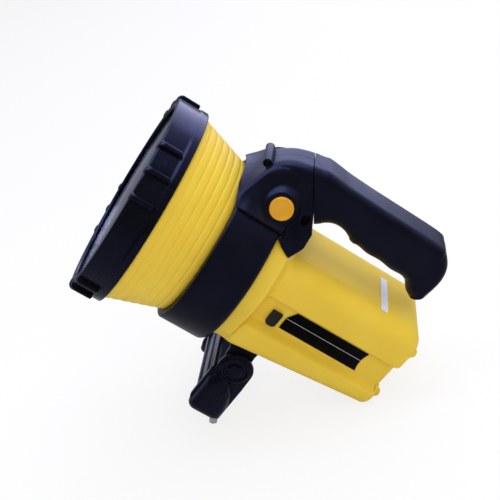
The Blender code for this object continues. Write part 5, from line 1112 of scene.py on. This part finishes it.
CHEEK_OUTLINE = np.vstack((
    circle_part(PIVOT, 14.5, 175, 0, 24), [(160.0, -83.8), (160.0, -118.8), (157.0, -121.8)],
    circle_part((141.5, -108.8), 13.0, 270, 180, 12), [(128.5, -79.3), (131.0, -76.8)]))
CHEEK_FACES, CHEEK_EDGE = (32.5, 36.5), 1.2
HUB_RING = [(-0.5, 8.8), (0.9, 9.6), (0.9, 11.6), (-0.5, 13.6)]
HUB_CORNERS = (0.2, 0.5, 0.9, 0.2)
FOOT_OUTLINE = [(134.6, -76.4), (142.0, -78.4), (149.6, -82.4), (155.0, -89.4), (158.2, -98.6),
                (160.0, -108.0), (160.0, -118.8), (157.0, -121.8), (142.5, -121.8), (130.0, -121.8),
                (130.0, -84.0)]
FOOT_CORNERS = (4, 8, 8, 8, 8, 6, 2, 2, 20, 13, 8)
FOOT_CENTRE = np.array((145.2, -102.8))
FOOT_START, FOOT_PROUD, FOOT_SHRINK, FOOT_SCALE = 34.5, 8.4, 0.45, 0.985
WEB_HALF, WEB_LOW, WEB_TOP, WEB_X, WEB_EDGE = 34.5, -102.3, -76.8, (130.5, 133.5), 0.5
BAR_HEIGHTS, BAR_HALF, BAR_X, BAR_EDGE = (-102.3, -89.6, -76.8), 1.5, (129.3, 132.0), 0.7
ACROSS = {"u": (0, 1, 0), "v": (0, 0, 1), "w": (1, 0, 0)}


def across_plate(low, high):
    """A rectangle between the cheeks, from one height to another."""
    return np.array(((-WEB_HALF, low), (WEB_HALF, low), (WEB_HALF, high), (-WEB_HALF, high)))


def leg_shells():
    """Two cheeks, two convex feet, and a web with bars between them.

    The cheeks have rounded rims and a raised ring round the pin. A foot's outline shrinks
    towards the outside like an ellipse's.
    """
    cheek, foot = resampled(CHEEK_OUTLINE, 160), resampled(rounded(FOOT_OUTLINE, FOOT_CORNERS, 6), 160)
    hub = rounded(HUB_RING, HUB_CORNERS, 5)
    share = np.sin(np.linspace(0, 1, 30) * math.pi / 2)
    scale = FOOT_SCALE * (1 - FOOT_SHRINK * (1 - np.sqrt(np.clip(1 - share ** 2, 0, 1))))
    flat = FOOT_CENTRE + (foot - FOOT_CENTRE) * scale[:, None, None]
    shells = []
    for side in (-1, 1):
        low, high = sorted(side * face for face in CHEEK_FACES)
        shells.append(slab(cheek, low, high, CHEEK_EDGE, 5))
        shells.append(turned(hub, (PIVOT[0], CHEEK_FACES[1] * side, PIVOT[1]), (0, side, 0), 72))
        across = (FOOT_START + FOOT_PROUD * share)[:, None] * side + 0 * flat[..., 0]
        shells.append(shell(np.stack((flat[..., 0], across, flat[..., 1]), -1)))
    shells.append(slab(across_plate(WEB_LOW, WEB_TOP), *WEB_X, WEB_EDGE, 3, **ACROSS))
    for z in BAR_HEIGHTS:
        shells.append(slab(across_plate(z - BAR_HALF, z + BAR_HALF), *BAR_X, BAR_EDGE, 4, **ACROSS))
    return shells


BRACKET_PLATE = np.array(((130.5, -55.0), (130.5, -51.9), (153.0, -49.7), (153.0, -52.8)))
BRACKET_HALF, BRACKET_EDGE = 31.4, 0.6
EAR_ARC = circle_part(PIVOT, 11.6, 200, 345, 24)
EAR_OUTLINE = np.vstack((EAR_ARC, [(153.4, -62.0), (152.6, -50.6), (131.6, -52.4), (132.0, -62.0)]))
EAR_CORNERS = np.r_[np.zeros(len(EAR_ARC)), (4.0, 0.4, 0.4, 4.0)]
EAR_FACES, EAR_EDGE = (26.6, 31.6), 0.9
PIN_PROFILE = [(-1.4, 0), (-1.4, 5.2), (-0.7, 6.2), (0, 6.2), (0, 3.0), (75.9, 3.0), (75.9, 0)]
PIN_CORNERS = (0, 0.6, 0.5, 0.1, 0.1, 0.5, 0)
PIN_START = -36.8


def leg_and_bracket():
    """The leg, its bracket of a plate and two rounded ears, and the pin with its low head, turned about y."""
    piece("fold_leg", leg_shells(), "stand", BLACK_GLOSS, ("stand_leg",), sharp=28)
    ear = rounded(EAR_OUTLINE, EAR_CORNERS, 5)
    ears = [slab(ear, *sorted(side * face for face in EAR_FACES), EAR_EDGE, 4) for side in (-1, 1)]
    plate = slab(BRACKET_PLATE, -BRACKET_HALF, BRACKET_HALF, BRACKET_EDGE, 3)
    piece("leg_bracket", [plate] + ears, "lamp", BLACK_SATIN, ("stand_bracket",))
    pin = rounded(PIN_PROFILE, PIN_CORNERS, 5, closed=False)
    pin = turned(pin, (PIVOT[0], PIN_START, PIVOT[1]), (0, 1, 0), 48)
    piece("leg_pin", [pin], "lamp", BLACK_GLOSS, ("pivot_pin",))


front_ring()
lens_disc()
reflector_bowl()
lamp_cone()
wide_band()
battery_housing()
handle_halves()
handle_grip()
button_and_tube()
labels_and_cap()
leg_and_bracket()
